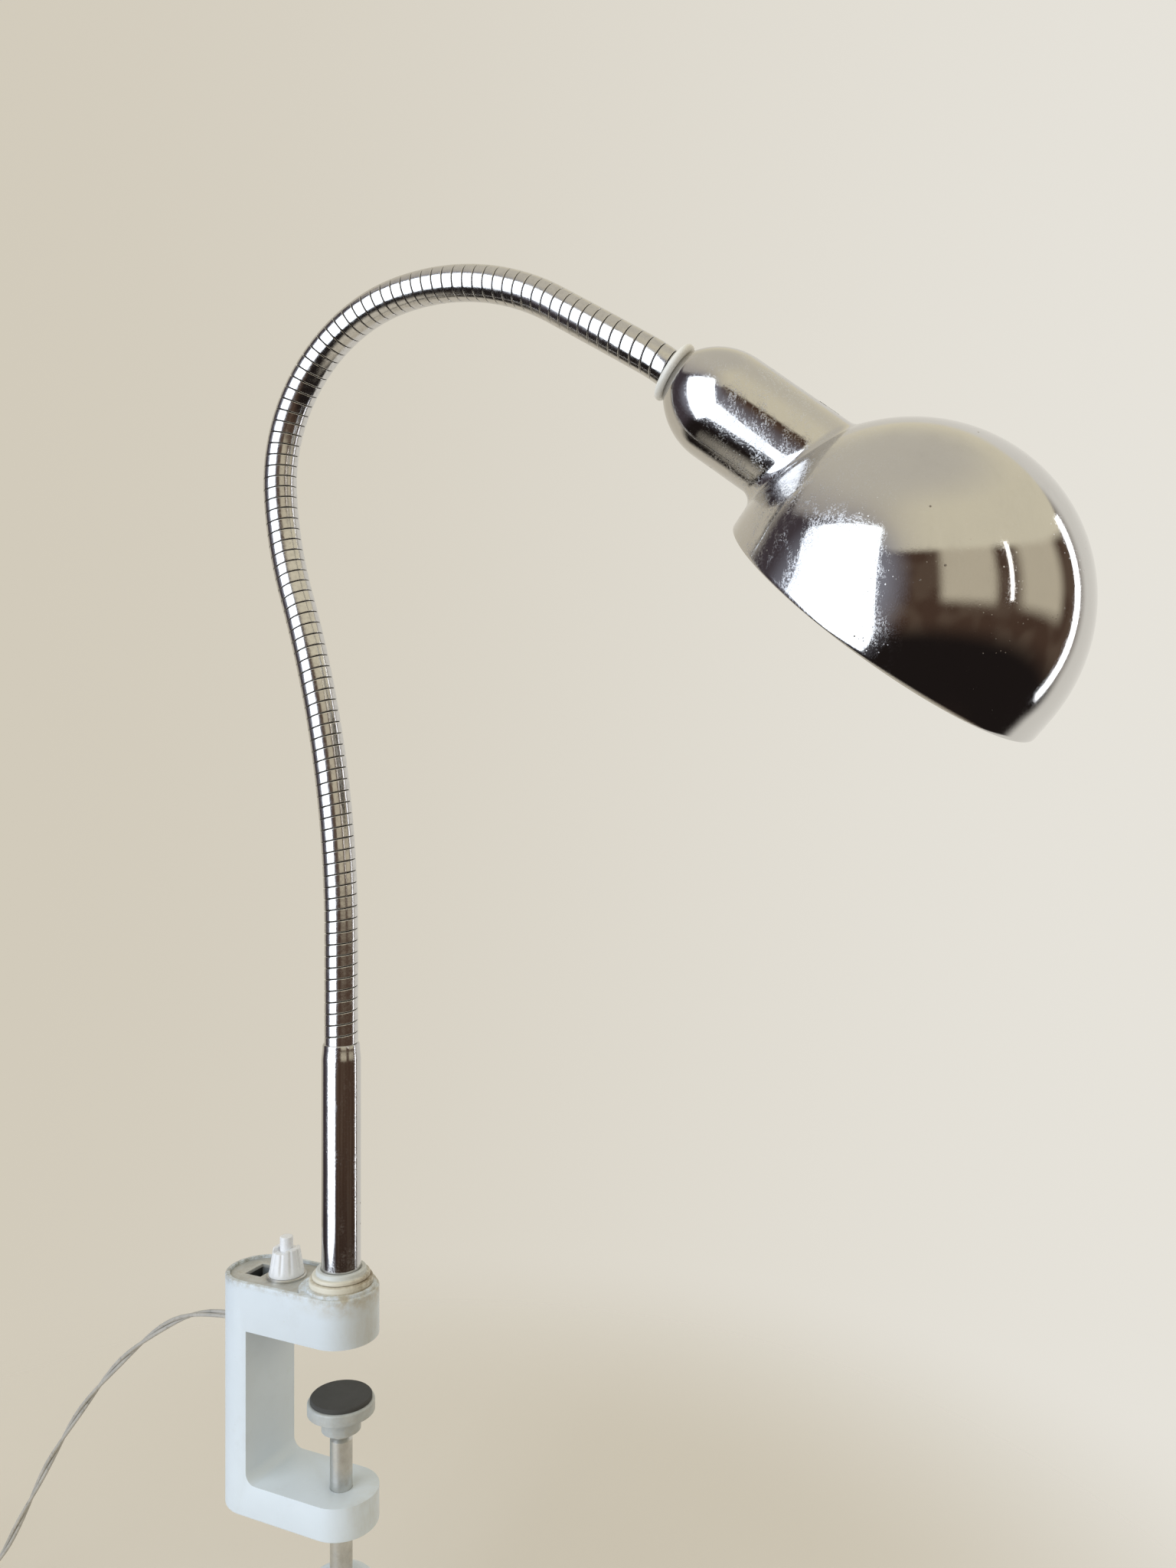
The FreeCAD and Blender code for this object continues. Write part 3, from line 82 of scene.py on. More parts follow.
class Bench:
    """The steps of modelling by hand, in object and edit mode."""

    @staticmethod
    def clear() -> None:
        """Leave object mode with nothing selected."""
        if bpy.context.object is not None and bpy.context.object.mode != "OBJECT":
            bpy.ops.object.mode_set(mode="OBJECT")
        bpy.ops.object.select_all(action="DESELECT")

    @staticmethod
    def take(piece: bpy.types.Object) -> None:
        """Select one object and make it the active one."""
        Bench.clear()
        piece.select_set(True)
        bpy.context.view_layer.objects.active = piece

    @staticmethod
    def apply(piece: bpy.types.Object, kind: str, **settings: object) -> None:
        """Add a modifier to a piece and apply it at once.

        Args:
            piece: The object to change.
            kind: The modifier's type.
            **settings: Its properties.
        """
        Bench.take(piece)
        modifier = piece.modifiers.new(kind.lower(), kind)
        for name, value in settings.items():
            setattr(modifier, name, value)
        bpy.ops.object.modifier_apply(modifier=modifier.name)

    @staticmethod
    def smooth(piece: bpy.types.Object, degrees: float = 35.0) -> None:
        """Shade a piece smooth up to an angle between its faces."""
        Bench.take(piece)
        bpy.ops.object.shade_smooth_by_angle(angle=math.radians(degrees))

    @staticmethod
    def place(piece: bpy.types.Object, matrix: Matrix) -> None:
        """Put a piece in its place, with the place in its mesh."""
        Bench.take(piece)
        piece.matrix_world = matrix
        bpy.ops.object.transform_apply(location=True, rotation=True, scale=True)

    @staticmethod
    def join(name: str, pieces: Sequence[bpy.types.Object]) -> bpy.types.Object:
        """Join pieces into one object.

        Args:
            name: The joined object's name.
            pieces: The objects to join; the first one takes the rest.

        Returns:
            The joined object.
        """
        Bench.clear()
        for piece in pieces:
            piece.select_set(True)
        bpy.context.view_layer.objects.active = pieces[0]
        if len(pieces) > 1:
            bpy.ops.object.join()
        pieces[0].name = name
        return pieces[0]

    @staticmethod
    def cut(piece: bpy.types.Object, tool: bpy.types.Object) -> None:
        """Cut a piece with a tool and throw the tool away."""
        Bench.apply(piece, "BOOLEAN", operation="DIFFERENCE", object=tool, solver="EXACT")
        bpy.data.objects.remove(tool, do_unlink=True)

    @staticmethod
    def bar(size: Point, place: Point, edge: float) -> bpy.types.Object:
        """A bar with rounded edges, as a cutter.

        Args:
            size: Its size along X, Y and Z, in millimetres.
            place: Its centre, in millimetres.
            edge: Width of its softened edges, in millimetres.

        Returns:
            The bar, in object mode.
        """
        Bench.clear()
        bpy.ops.mesh.primitive_cube_add(size=1.0, location=mm(*place))
        piece = bpy.context.object
        bpy.ops.object.mode_set(mode="EDIT")
        bpy.ops.mesh.select_all(action="SELECT")
        bpy.ops.transform.resize(value=mm(*size))
        bpy.ops.object.mode_set(mode="OBJECT")
        Bench.apply(piece, "BEVEL", width=edge * MM, segments=3, limit_method="NONE")
        return piece

    @staticmethod
    def profile(name: str, points: Sequence[tuple[float, float]]) -> bpy.types.Object:
        """A chain of edges in the XZ plane, drawn out point by point.

        Args:
            name: The object's name.
            points: Radius and height of each point, in millimetres.

        Returns:
            The object, left in edit mode with nothing selected.
        """
        Bench.clear()
        bpy.ops.mesh.primitive_plane_add(size=MM)
        piece = bpy.context.object
        piece.name = name
        bpy.ops.object.mode_set(mode="EDIT")
        bpy.ops.mesh.select_all(action="SELECT")
        bpy.ops.mesh.merge(type="CENTER")
        first = mm(points[0][0], 0, points[0][1])
        bpy.ops.transform.translate(value=first)
        for before, after in zip(points, points[1:]):
            step = mm(after[0] - before[0], 0, after[1] - before[1])
            bpy.ops.mesh.extrude_region_move(TRANSFORM_OT_translate={"value": step})
        bpy.ops.mesh.select_all(action="DESELECT")
        return piece

    @staticmethod
    def turned(
        name: str, points: Sequence[tuple[float, float]], steps: int = 96,
    ) -> bpy.types.Object:
        """A piece turned about Z from a profile.

        Args:
            name: The object's name.
            points: Radius and height of each corner, in millimetres, going round the
                section, which is closed. A radius of 0 is on the axis.
            steps: Number of flats round the axis.

        Returns:
            The turned object, in object mode.
        """
        piece = Bench.profile(name, [*points, points[0]])
        bpy.ops.mesh.select_all(action="SELECT")
        bpy.ops.mesh.spin(steps=steps, angle=math.tau, center=(0, 0, 0), axis=(0, 0, 1))
        bpy.ops.mesh.select_all(action="SELECT")
        bpy.ops.mesh.remove_doubles(threshold=1e-6)
        bpy.ops.mesh.normals_make_consistent(inside=False)
        bpy.ops.object.mode_set(mode="OBJECT")
        return piece


def arc(
    centre: tuple[float, float], radius: float, start: float, end: float, steps: int
) -> list[tuple[float, float]]:
    """Points of an arc in a section, from one angle to another, both included.

    Args:
        centre: Radius and height of the arc's centre.
        radius: The arc's radius.
        start: First angle in degrees, from the outward direction towards +Z.
        end: Last angle in degrees.
        steps: Number of spans.

    Returns:
        The points, in order.
    """
    angles = [math.radians(start + (end - start) * i / steps) for i in range(steps + 1)]
    return [(centre[0] + radius * math.cos(a), centre[1] + radius * math.sin(a)) for a in angles]


# Finishes

class Nodes:
    """A node tree under construction."""

    def __init__(self, tree: bpy.types.NodeTree) -> None:
        """Start with an empty tree."""
        self.tree = tree
        self.tree.nodes.clear()

    def link(self, start: bpy.types.NodeSocket, end: bpy.types.NodeSocket) -> None:
        """Join an output to an input."""
        self.tree.links.new(start, end)

    def math(
        self, kind: str, first: bpy.types.NodeSocket, second: object = 0.5,
    ) -> bpy.types.NodeSocket:
        """One sum of two values; the second may be a plain number."""
        node = self.tree.nodes.new("ShaderNodeMath")
        node.operation = kind
        self.link(first, node.inputs[0])
        if isinstance(second, bpy.types.NodeSocket):
            self.link(second, node.inputs[1])
        else:
            node.inputs[1].default_value = second
        return node.outputs["Value"]

    def mix(
        self, share: bpy.types.NodeSocket, first: object, second: object,
    ) -> bpy.types.NodeSocket:
        """Mix two colours; each is a colour or an output."""
        node = self.tree.nodes.new("ShaderNodeMix")
        node.data_type = "RGBA"
        self.link(share, node.inputs["Factor"])
        for socket, colour in ((node.inputs[6], first), (node.inputs[7], second)):
            if isinstance(colour, bpy.types.NodeSocket):
                self.link(colour, socket)
            else:
                socket.default_value = (*colour, 1.0)
        return node.outputs[2]

    def rise(self, value: bpy.types.NodeSocket, low: float, high: float) -> bpy.types.NodeSocket:
        """A smooth step from 0 to 1."""
        node = self.tree.nodes.new("ShaderNodeMapRange")
        node.interpolation_type = "SMOOTHSTEP"
        node.inputs["From Min"].default_value = low
        node.inputs["From Max"].default_value = high
        self.link(value, node.inputs["Value"])
        return node.outputs["Result"]

    def band(
        self, value: bpy.types.NodeSocket, low: float, high: float, soft: float,
    ) -> bpy.types.NodeSocket:
        """1 between two values, 0 outside, with soft edges."""
        return self.math("MULTIPLY", self.rise(value, low - soft, low + soft),
                         self.rise(value, high + soft, high - soft))


class Recipe(Nodes):
    """A node material under construction."""

    def __init__(self, name: str) -> None:
        """Start an empty material with one surface shader."""
        self.material = bpy.data.materials.new(name)
        self.material.use_nodes = True
        super().__init__(self.material.node_tree)
        self.output = self.tree.nodes.new("ShaderNodeOutputMaterial")
        self.shader = self.tree.nodes.new("ShaderNodeBsdfPrincipled")
        self.tree.links.new(self.shader.outputs["BSDF"], self.output.inputs["Surface"])
        self.place = self.tree.nodes.new("ShaderNodeTexCoord").outputs["Object"]

    def mapped(
        self, scale: Point, turn: Point = (0, 0, 0), move: Point = (0, 0, 0),
    ) -> bpy.types.NodeSocket:
        """Object coordinates, stretched, turned and moved."""
        node = self.tree.nodes.new("ShaderNodeMapping")
        node.inputs["Scale"].default_value = scale
        node.inputs["Rotation"].default_value = turn
        node.inputs["Location"].default_value = move
        self.link(self.place, node.inputs["Vector"])
        return node.outputs["Vector"]

    def noise(
        self, size: float, detail: float = 4.0, rough: float = 0.6,
        vector: Optional[bpy.types.NodeSocket] = None,
    ) -> bpy.types.NodeSocket:
        """Cloudy noise whose blotches are about `size` metres across."""
        node = self.tree.nodes.new("ShaderNodeTexNoise")
        node.inputs["Scale"].default_value = 1.0 / size
        node.inputs["Detail"].default_value = detail
        node.inputs["Roughness"].default_value = rough
        self.link(vector or self.place, node.inputs["Vector"])
        return node.outputs["Fac"]

    def specks(self, size: float) -> bpy.types.NodeSocket:
        """Distance to the nearest of scattered points, 0 at each point."""
        node = self.tree.nodes.new("ShaderNodeTexVoronoi")
        node.inputs["Scale"].default_value = 1.0 / size
        self.link(self.place, node.inputs["Vector"])
        return node.outputs["Distance"]

    def spread(
        self, value: bpy.types.NodeSocket, low: float, high: float,
        to_low: float = 0.0, to_high: float = 1.0,
    ) -> bpy.types.NodeSocket:
        """Stretch a range of values over another one, and hold it there."""
        node = self.tree.nodes.new("ShaderNodeMapRange")
        for name, number in (("From Min", low), ("From Max", high),
                             ("To Min", to_low), ("To Max", to_high)):
            node.inputs[name].default_value = number
        self.link(value, node.inputs["Value"])
        return node.outputs["Result"]

    def axis(self, name: str) -> bpy.types.NodeSocket:
        """One of the object's own coordinates."""
        node = self.tree.nodes.new("ShaderNodeSeparateXYZ")
        self.link(self.place, node.inputs["Vector"])
        return node.outputs[name]

    def attribute(self, name: str) -> bpy.types.NodeSocket:
        """A value stored on the piece's own points."""
        node = self.tree.nodes.new("ShaderNodeAttribute")
        node.attribute_name = name
        return node.outputs["Fac"]

    def bump(self, *layers: tuple[bpy.types.NodeSocket, float]) -> None:
        """Stack bumps on the shader; each is a height and its depth in metres."""
        normal = None
        for height, depth in layers:
            node = self.tree.nodes.new("ShaderNodeBump")
            node.inputs["Strength"].default_value = 1.0
            node.inputs["Distance"].default_value = depth
            self.link(height, node.inputs["Height"])
            if normal is not None:
                self.link(normal, node.inputs["Normal"])
            normal = node.outputs["Normal"]
        self.link(normal, self.shader.inputs["Normal"])

    def set(self, **values: object) -> None:
        """Fill the shader's sockets; words are joined with underscores."""
        for name, value in values.items():
            socket = self.shader.inputs[name.replace("_", " ")]
            if isinstance(value, bpy.types.NodeSocket):
                self.link(value, socket)
            elif isinstance(value, tuple):
                socket.default_value = (*value, 1.0)
            else:
                socket.default_value = value


@dataclass(frozen=True)
class BrightChrome:
    """Polished chrome plate with fine pits, faint smears and dust, the fine dust tinted with a
    painted bluish sheen of the window's light.

    Attributes:
        name: The material's name.
        tint: Colour of the plate.
        shine: Lowest and highest roughness.
        film: How much fine dust, with its painted bluish sheen, lies on the side that faces the
            window.
        dust_colour: Colour of the dust.
        dust_sheen_colour: Colour of the fine dust, tinted with a painted bluish sheen of the
            window's light.
        pit_colour: Colour of the corrosion spots.
    """

    name: str
    tint: Colour = (0.64, 0.63, 0.62)
    shine: tuple[float, float] = (0.04, 0.17)
    film: float = 0.75
    dust_colour: Colour = (0.80, 0.79, 0.77)
    dust_sheen_colour: Colour = (0.74, 0.78, 0.90)
    pit_colour: Colour = (0.17, 0.13, 0.09)

    def make(self) -> bpy.types.Material:
        """Build the material."""
        r = Recipe(self.name)
        smear = r.noise(0.022, 5.0, 0.62)
        streak = r.noise(0.006, 3.0, 0.7, r.mapped((1.0, 1.0, 0.18), (0.5, 0.9, 0.0)))
        haze = r.math("MULTIPLY", r.spread(smear, 0.45, 0.72), r.spread(streak, 0.35, 0.8))
        rough = r.spread(haze, 0.0, 1.0, *self.shine)
        patch = r.spread(r.noise(0.020, 3.0), 0.50, 0.66)
        dust = r.math("MULTIPLY", r.spread(r.specks(0.0017), 0.07, 0.15, 1.0, 0.0), patch)
        pit = r.spread(r.specks(0.0075), 0.030, 0.055, 1.0, 0.0)
        # Fine dust on the side towards the window, coloured with a painted bluish sheen of the
        # window's light.
        slant = r.math("ADD", r.math("MULTIPLY", r.axis("X"), -0.906),
                     r.math("MULTIPLY", r.axis("Y"), -0.423))
        side = r.math("MULTIPLY", r.spread(slant, -0.176, -0.150),
                      r.spread(slant, -0.138, -0.122, 1.0, 0.30))
        grain = r.spread(r.noise(0.0006, 3.0, 0.75), 0.50, 0.60)
        wiped = r.noise(0.0035, 4.0, 0.7, r.mapped((1.0, 1.0, 0.3), (0.7, 0.5, 0.2)))
        cloud = r.math("MULTIPLY", r.spread(wiped, 0.38, 0.58), r.spread(smear, 0.30, 0.50))
        film = r.math("MULTIPLY", r.math("MULTIPLY", grain, cloud),
                      r.math("MULTIPLY", r.spread(side, 0.0, 1.0, 0.12, 1.0), self.film))
        marks = r.math("MAXIMUM", r.math("MAXIMUM", dust, pit), film)
        rough = r.math("ADD", rough, r.math("MULTIPLY", marks, 0.45))
        dulled = tuple(c * 0.90 for c in self.tint)
        colour = r.mix(haze, self.tint, dulled)
        colour = r.mix(r.math("MULTIPLY", dust, 0.55), colour, self.dust_colour)
        colour = r.mix(r.math("MULTIPLY", film, 0.7), colour, self.dust_sheen_colour)
        colour = r.mix(r.math("MULTIPLY", pit, 0.75), colour, self.pit_colour)
        r.set(Base_Color=colour, Metallic=1.0, Roughness=rough)
        r.bump((r.noise(0.03, 1.0, 0.4), 0.00006), (marks, 0.00002))
        return r.material


@dataclass(frozen=True)
class WoundChrome:
    """Chromed strip of the gooseneck: bright lands, dark grime and painted shade between the turns.
    """

    name: str

    def make(self) -> bpy.types.Material:
        """Build the material; the piece's `depth` value is 1 in the grooves."""
        r = Recipe(self.name)
        # Grooves coloured near black: grime, and painted shade in the gaps between the turns.
        groove = r.spread(r.attribute("depth"), 0.25, 0.8)
        grime = r.noise(0.004, 4.0, 0.65)
        grime_and_shade = r.math("MULTIPLY", groove, r.spread(grime, 0.2, 0.5, 0.72, 1.0))
        wear = r.spread(r.noise(0.0016, 3.0, 0.7), 0.45, 0.8)
        plate = r.mix(wear, (0.66, 0.65, 0.64), (0.55, 0.54, 0.53))
        colour = r.mix(grime_and_shade, plate, (0.03, 0.026, 0.022))
        rough = r.math("ADD", r.spread(wear, 0.0, 1.0, 0.13, 0.30), r.math("MULTIPLY", grime_and_shade, 0.40))
        metal = r.spread(grime_and_shade, 0.2, 0.9, 1.0, 0.35)
        r.set(Base_Color=colour, Metallic=metal, Roughness=rough)
        r.bump((r.noise(0.0022, 2.0, 0.5), 0.00003))
        return r.material


class Age(Enum):
    """How the years show on a moulding."""

    CLEAN = 0.0
    WIPED = 0.14
    HANDLED = 0.45
    GRIMY = 1.0


@dataclass(frozen=True)
class Moulding:
    """Moulded plastic with a fine texture, grime and yellowing, and on the clamp painted shade in
    its wiring well.

    Attributes:
        name: The material's name.
        colour: The plastic's own colour.
        age: How worn it is.
        gloss: Roughness of a clean area.
        grime: Colour of the dirt.
        yellow_and_well_shade: Whether it yellows towards the column's foot, and gets painted shade
            in its wiring well.
        seams: Heights at which a line of dirt runs round, in millimetres.
        pale_above: Height over which the moulding is clear and bluish, 0 for none.
    """

    name: str
    colour: Colour
    age: Age = Age.HANDLED
    gloss: float = 0.42
    grime: Colour = (0.30, 0.24, 0.15)
    yellow_and_well_shade: bool = False
    seams: tuple[float, ...] = ()
    pale_above: float = 0.0

    @staticmethod
    def yellowed(r: Recipe, colour: bpy.types.NodeSocket) -> bpy.types.NodeSocket:
        """Yellow the moulding towards the column's foot, streak it a darker grey-beige towards +X,
        with dirt under its top edge.

        Args:
            r: The material under construction.
            colour: The moulding's colour so far.

        Returns:
            The colour with the yellowing.
        """
        near_top = r.spread(r.axis("Z"), 0.010, 0.0175)
        near_nose = r.spread(r.axis("X"), -0.013, 0.008)
        worn = r.math("MULTIPLY", near_top, near_nose)
        patchy = r.math("MULTIPLY", worn, r.spread(r.noise(0.004, 5.0, 0.7), 0.35, 0.62))
        colour = r.mix(r.math("MULTIPLY", patchy, 0.75), colour, (0.47, 0.39, 0.24))
        # Streaks of a darker grey-beige towards the +X end.
        side = r.math("MULTIPLY", r.spread(r.axis("X"), 0.004, 0.0135),
                      r.spread(r.noise(0.009, 4.0, 0.65, r.mapped((1, 1, 0.35))), 0.42, 0.7))
        colour = r.mix(r.math("MULTIPLY", side, 0.40), colour, (0.50, 0.46, 0.36))
        run = r.math("MULTIPLY", r.spread(r.axis("Z"), 0.0150, 0.0173),
                     r.spread(r.noise(0.0028, 5.0, 0.75), 0.45, 0.66))
        return r.mix(r.math("MULTIPLY", run, 0.55), colour, (0.36, 0.31, 0.20))

    @staticmethod
    def well(r: Recipe, colour: bpy.types.NodeSocket) -> bpy.types.NodeSocket:
        """Paint shade into the wiring well, and leave crusted dirt on the back of its rim.

        Args:
            r: The material under construction.
            colour: The moulding's colour so far.

        Returns:
            The colour with the well's painted shade and dirt.
        """
        # Painted shade: the wiring well inside the moulding is coloured near black.
        behind = r.spread(r.axis("X"), -0.0322, -0.0336)
        beside = r.spread(r.math("ABSOLUTE", r.axis("Y")), 0.0053, 0.0049)
        above = r.spread(r.axis("Z"), 0.0050, 0.0060)
        below = r.spread(r.axis("Z"), 0.0172, 0.0158)
        depth = r.math("MULTIPLY", r.math("MULTIPLY", behind, beside),
                       r.math("MULTIPLY", above, below))
        front = r.spread(r.axis("X"), -0.0420, -0.0412)
        dark = r.math("MULTIPLY", depth, front)
        colour = r.mix(r.math("MULTIPLY", dark, 0.98), colour, (0.010, 0.009, 0.007))
        rim = r.math("MULTIPLY", r.spread(r.axis("Z"), 0.0140, 0.0166),
                     r.spread(r.axis("X"), -0.0365, -0.0450))
        crust = r.math("MULTIPLY", rim, r.spread(r.noise(0.0016, 6.0, 0.8), 0.40, 0.60))
        return r.mix(r.math("MULTIPLY", crust, 0.75), colour, (0.21, 0.20, 0.15))

    def make(self) -> bpy.types.Material:
        """Build the material."""
        r = Recipe(self.name)
        broad = r.noise(0.024, 4.0, 0.6)
        tone = r.mix(r.spread(broad, 0.3, 0.75), self.colour, tuple(c * 0.94 for c in self.colour))
        stain = r.spread(r.noise(0.0085, 6.0, 0.70), 0.55, 0.78)
        film = r.math("MULTIPLY", stain, 0.5 * self.age.value)
        colour = r.mix(film, tone, self.grime)
        if self.yellow_and_well_shade:
            colour = self.well(r, self.yellowed(r, colour))
        if self.seams:
            # Crust, and the darkest seam lines, lie towards +X and +Y.
            slant = r.math("ADD", r.math("MULTIPLY", r.axis("X"), 0.75),
                         r.math("MULTIPLY", r.axis("Y"), 0.66))
            xy_side = r.spread(slant, -0.001, 0.009)
            crust = r.math("MULTIPLY", xy_side, r.spread(r.noise(0.0024, 6.0, 0.8), 0.36, 0.60))
            colour = r.mix(r.math("MULTIPLY", crust, 0.80), colour, self.grime)
            share = r.spread(xy_side, 0.0, 1.0, 0.42, 0.95)
        if self.pale_above:
            upper = r.spread(r.axis("Z"), (self.pale_above - 0.1) * MM,
                             (self.pale_above + 0.1) * MM)
            clear = r.math("MULTIPLY", upper, r.spread(broad, 0.2, 0.7, 1.0, 0.75))
            colour = r.mix(clear, colour, (0.66, 0.70, 0.70))
        for height in self.seams:
            off = r.math("ABSOLUTE", r.math("SUBTRACT", r.axis("Z"), height * MM))
            line = r.math("MULTIPLY", r.spread(off, 0.00012, 0.00060, 1.0, 0.0),
                          r.spread(r.noise(0.0035, 5.0, 0.75), 0.30, 0.55))
            colour = r.mix(r.math("MULTIPLY", line, share), colour, self.grime)
        specks = r.math("MULTIPLY", r.spread(r.specks(0.0034), 0.05, 0.11, 1.0, 0.0),
                        r.spread(r.noise(0.009, 2.0), 0.55, 0.62))
        colour = r.mix(r.math("MULTIPLY", specks, 0.7 * self.age.value), colour, self.grime)
        rough = r.spread(r.noise(0.008, 4.0), 0.3, 0.7, self.gloss, self.gloss + 0.16)
        rough = r.math("ADD", rough, r.math("MULTIPLY", film, 0.35))
        r.set(Base_Color=colour, Roughness=rough)
        scratch = r.noise(0.0012, 2.0, 0.8, r.mapped((0.12, 1.0, 1.0), (0.3, 0.2, 0.6)))
        r.bump((r.noise(0.0007, 2.0, 0.5), 0.000012), (r.spread(scratch, 0.66, 0.74), 0.00001))
        return r.material


@dataclass(frozen=True)
class Lacquer:
    """Lacquered or plated sheet metal, dulled by dust.

    Attributes:
        name: The material's name.
        colour: The finish.
        metal: How metallic it is.
        gloss: Roughness of a clean area.
        dust: How much dust lies on it.
    """

    name: str
    colour: Colour
    metal: float = 0.0
    gloss: float = 0.35
    dust: float = 0.5

    def make(self) -> bpy.types.Material:
        """Build the material."""
        r = Recipe(self.name)
        worn = r.spread(r.noise(0.006, 5.0, 0.7), 0.4, 0.7)
        grey = r.mix(worn, self.colour, tuple(c * 0.82 for c in self.colour))
        settled = r.math("MULTIPLY", r.spread(r.noise(0.0025, 6.0, 0.75), 0.46, 0.68), self.dust)
        colour = r.mix(settled, grey, (0.46, 0.41, 0.31))
        rough = r.math("ADD", r.spread(worn, 0.0, 1.0, self.gloss, self.gloss + 0.15),
                       r.math("MULTIPLY", settled, 0.4))
        r.set(Base_Color=colour, Metallic=self.metal, Roughness=rough)
        brushed = r.noise(0.0009, 3.0, 0.6, r.mapped((0.06, 1.0, 1.0)))
        r.bump((brushed, 0.000008), (settled, 0.00003))
        return r.material


@dataclass(frozen=True)
class CordSheath:
    """Grey insulation of the cord's cores, chalky and a little dirty."""

    name: str
    colour: Colour = (0.40, 0.39, 0.365)

    def make(self) -> bpy.types.Material:
        """Build the material."""
        r = Recipe(self.name)
        chalk = r.spread(r.noise(0.007, 5.0, 0.7), 0.35, 0.72)
        colour = r.mix(chalk, self.colour, (0.50, 0.48, 0.44))
        dirt = r.spread(r.noise(0.0022, 4.0, 0.7), 0.56, 0.7)
        colour = r.mix(r.math("MULTIPLY", dirt, 0.6), colour, (0.16, 0.14, 0.11))
        rough = r.spread(chalk, 0.0, 1.0, 0.42, 0.62)
        r.set(Base_Color=colour, Roughness=rough)
        r.bump((r.noise(0.0011, 3.0, 0.6), 0.00004))
        return r.material


@dataclass(frozen=True)
class OpalGlass:
    """The lamp's white inner coating seen through clear glass."""

    name: str

    def make(self) -> bpy.types.Material:
        """Build the material."""
        r = Recipe(self.name)
        cloud = r.spread(r.noise(0.012, 3.0, 0.5), 0.3, 0.7)
        colour = r.mix(cloud, (0.86, 0.85, 0.81), (0.80, 0.79, 0.75))
        rough = r.spread(r.noise(0.004, 3.0), 0.3, 0.7, 0.10, 0.17)
        r.set(Base_Color=colour, Roughness=rough, Subsurface_Weight=0.3)
        r.shader.inputs["Subsurface Radius"].default_value = (0.004, 0.004, 0.004)
        r.shader.inputs["Coat Weight"].default_value = 0.6
        r.bump((r.noise(0.02, 1.0, 0.3), 0.00005))
        return r.material


@dataclass(frozen=True)
class StudioPaint:
    """Plain pale paper of the floor, which thins out into the backdrop at its edge.

    Attributes:
        name: The material's name.
        colour: The paper.
        solid: Radius within which the floor is whole, in metres.
        gone: Radius at which nothing is left of it, in metres.
    """

    name: str
    colour: Colour
    solid: float
    gone: float

    def make(self) -> bpy.types.Material:
        """Build the material."""
        r = Recipe(self.name)
        tone = r.spread(r.noise(0.35, 3.0, 0.5), 0.3, 0.7)
        across, along = r.axis("X"), r.axis("Y")
        away = r.math("POWER", r.math("ADD", r.math("MULTIPLY", across, across),
                                      r.math("MULTIPLY", along, along)), 0.5)
        left = r.spread(away, self.solid, self.gone, 1.0, 0.0)
        bulge = r.math("ADD", r.math("MULTIPLY", left, -2.0), 3.0)
        left = r.math("MULTIPLY", r.math("MULTIPLY", left, left), bulge)
        r.set(Base_Color=r.mix(tone, self.colour, tuple(c * 0.985 for c in self.colour)),
              Roughness=r.spread(tone, 0.0, 1.0, 0.88, 0.94), Alpha=left)
        r.shader.inputs["Specular IOR Level"].default_value = 0.2
        return r.material


class Finish(Enum):
    """Every finish on the lamp, with its slot in the record."""

    CHROME = ("chrome", BrightChrome("bright_chrome"))
    TUBE = ("chrome", BrightChrome("tube_chrome", (0.60, 0.59, 0.58), (0.05, 0.16)))
    HOSE = ("hose_chrome", WoundChrome("wound_chrome"))
    CLAMP = ("clamp_plastic", Moulding(
        "clamp_moulding", (0.72, 0.80, 0.87), Age.WIPED, 0.34, yellow_and_well_shade=True))
    PLATE = ("plate_metal", Lacquer("top_plate_lacquer", (0.55, 0.56, 0.54), 0.2, 0.30, 0.55))
    SWITCH = ("switch_plastic", Moulding("switch_moulding", (0.87, 0.89, 0.92), Age.CLEAN, 0.20))
    IVORY = ("cream_plastic", Moulding(
        "ivory_moulding", (0.78, 0.75, 0.64), Age.HANDLED, 0.30, (0.25, 0.19, 0.11),
        seams=(18.4, 20.8), pale_above=22.35))
    RING = ("white_ring", Moulding("ring_moulding", (0.94, 0.92, 0.85), Age.CLEAN, 0.26))
    DARK = ("bakelite", Moulding(
        "dark_moulding", (0.045, 0.040, 0.036), Age.HANDLED, 0.35, (0.14, 0.12, 0.10)))
    ZINC = ("plated_steel", Lacquer("zinc_plate", (0.62, 0.62, 0.60), 1.0, 0.30, 0.25))
    BRASS = ("brass", Lacquer("brass", (0.74, 0.57, 0.30), 1.0, 0.24, 0.10))
    PAD = ("pad_steel", Lacquer("pad_lacquer", (0.50, 0.53, 0.53), 0.1, 0.36, 0.3))
    LINER = ("liner_felt", Moulding(
        "liner_rubber", (0.06, 0.06, 0.058), Age.HANDLED, 0.7, (0.15, 0.14, 0.12)))
    CORD = ("cord_grey", CordSheath("cord_sheath"))
    PLUG = ("plug_grey", Moulding("plug_moulding", (0.46, 0.46, 0.44), Age.HANDLED, 0.40))
    GLASS = ("glass", OpalGlass("opal_glass"))
    TIE = ("tie", Moulding("tie_band", (0.05, 0.05, 0.05), Age.CLEAN, 0.5))

    def material(self) -> bpy.types.Material:
        """The finish's material, built on first use."""
        recipe = self.value[1]
        return bpy.data.materials.get(recipe.name) or recipe.make()

    def wear(self, piece: bpy.types.Object) -> None:
        """Dress a new piece in this finish."""
        piece.data.materials.clear()
        piece.data.materials.append(self.material())


# The neck's centreline

class Bend(Enum):
    """Which way a run of the neck turns."""

    IN_PLANE = "in plane"
    SIDE = "side"


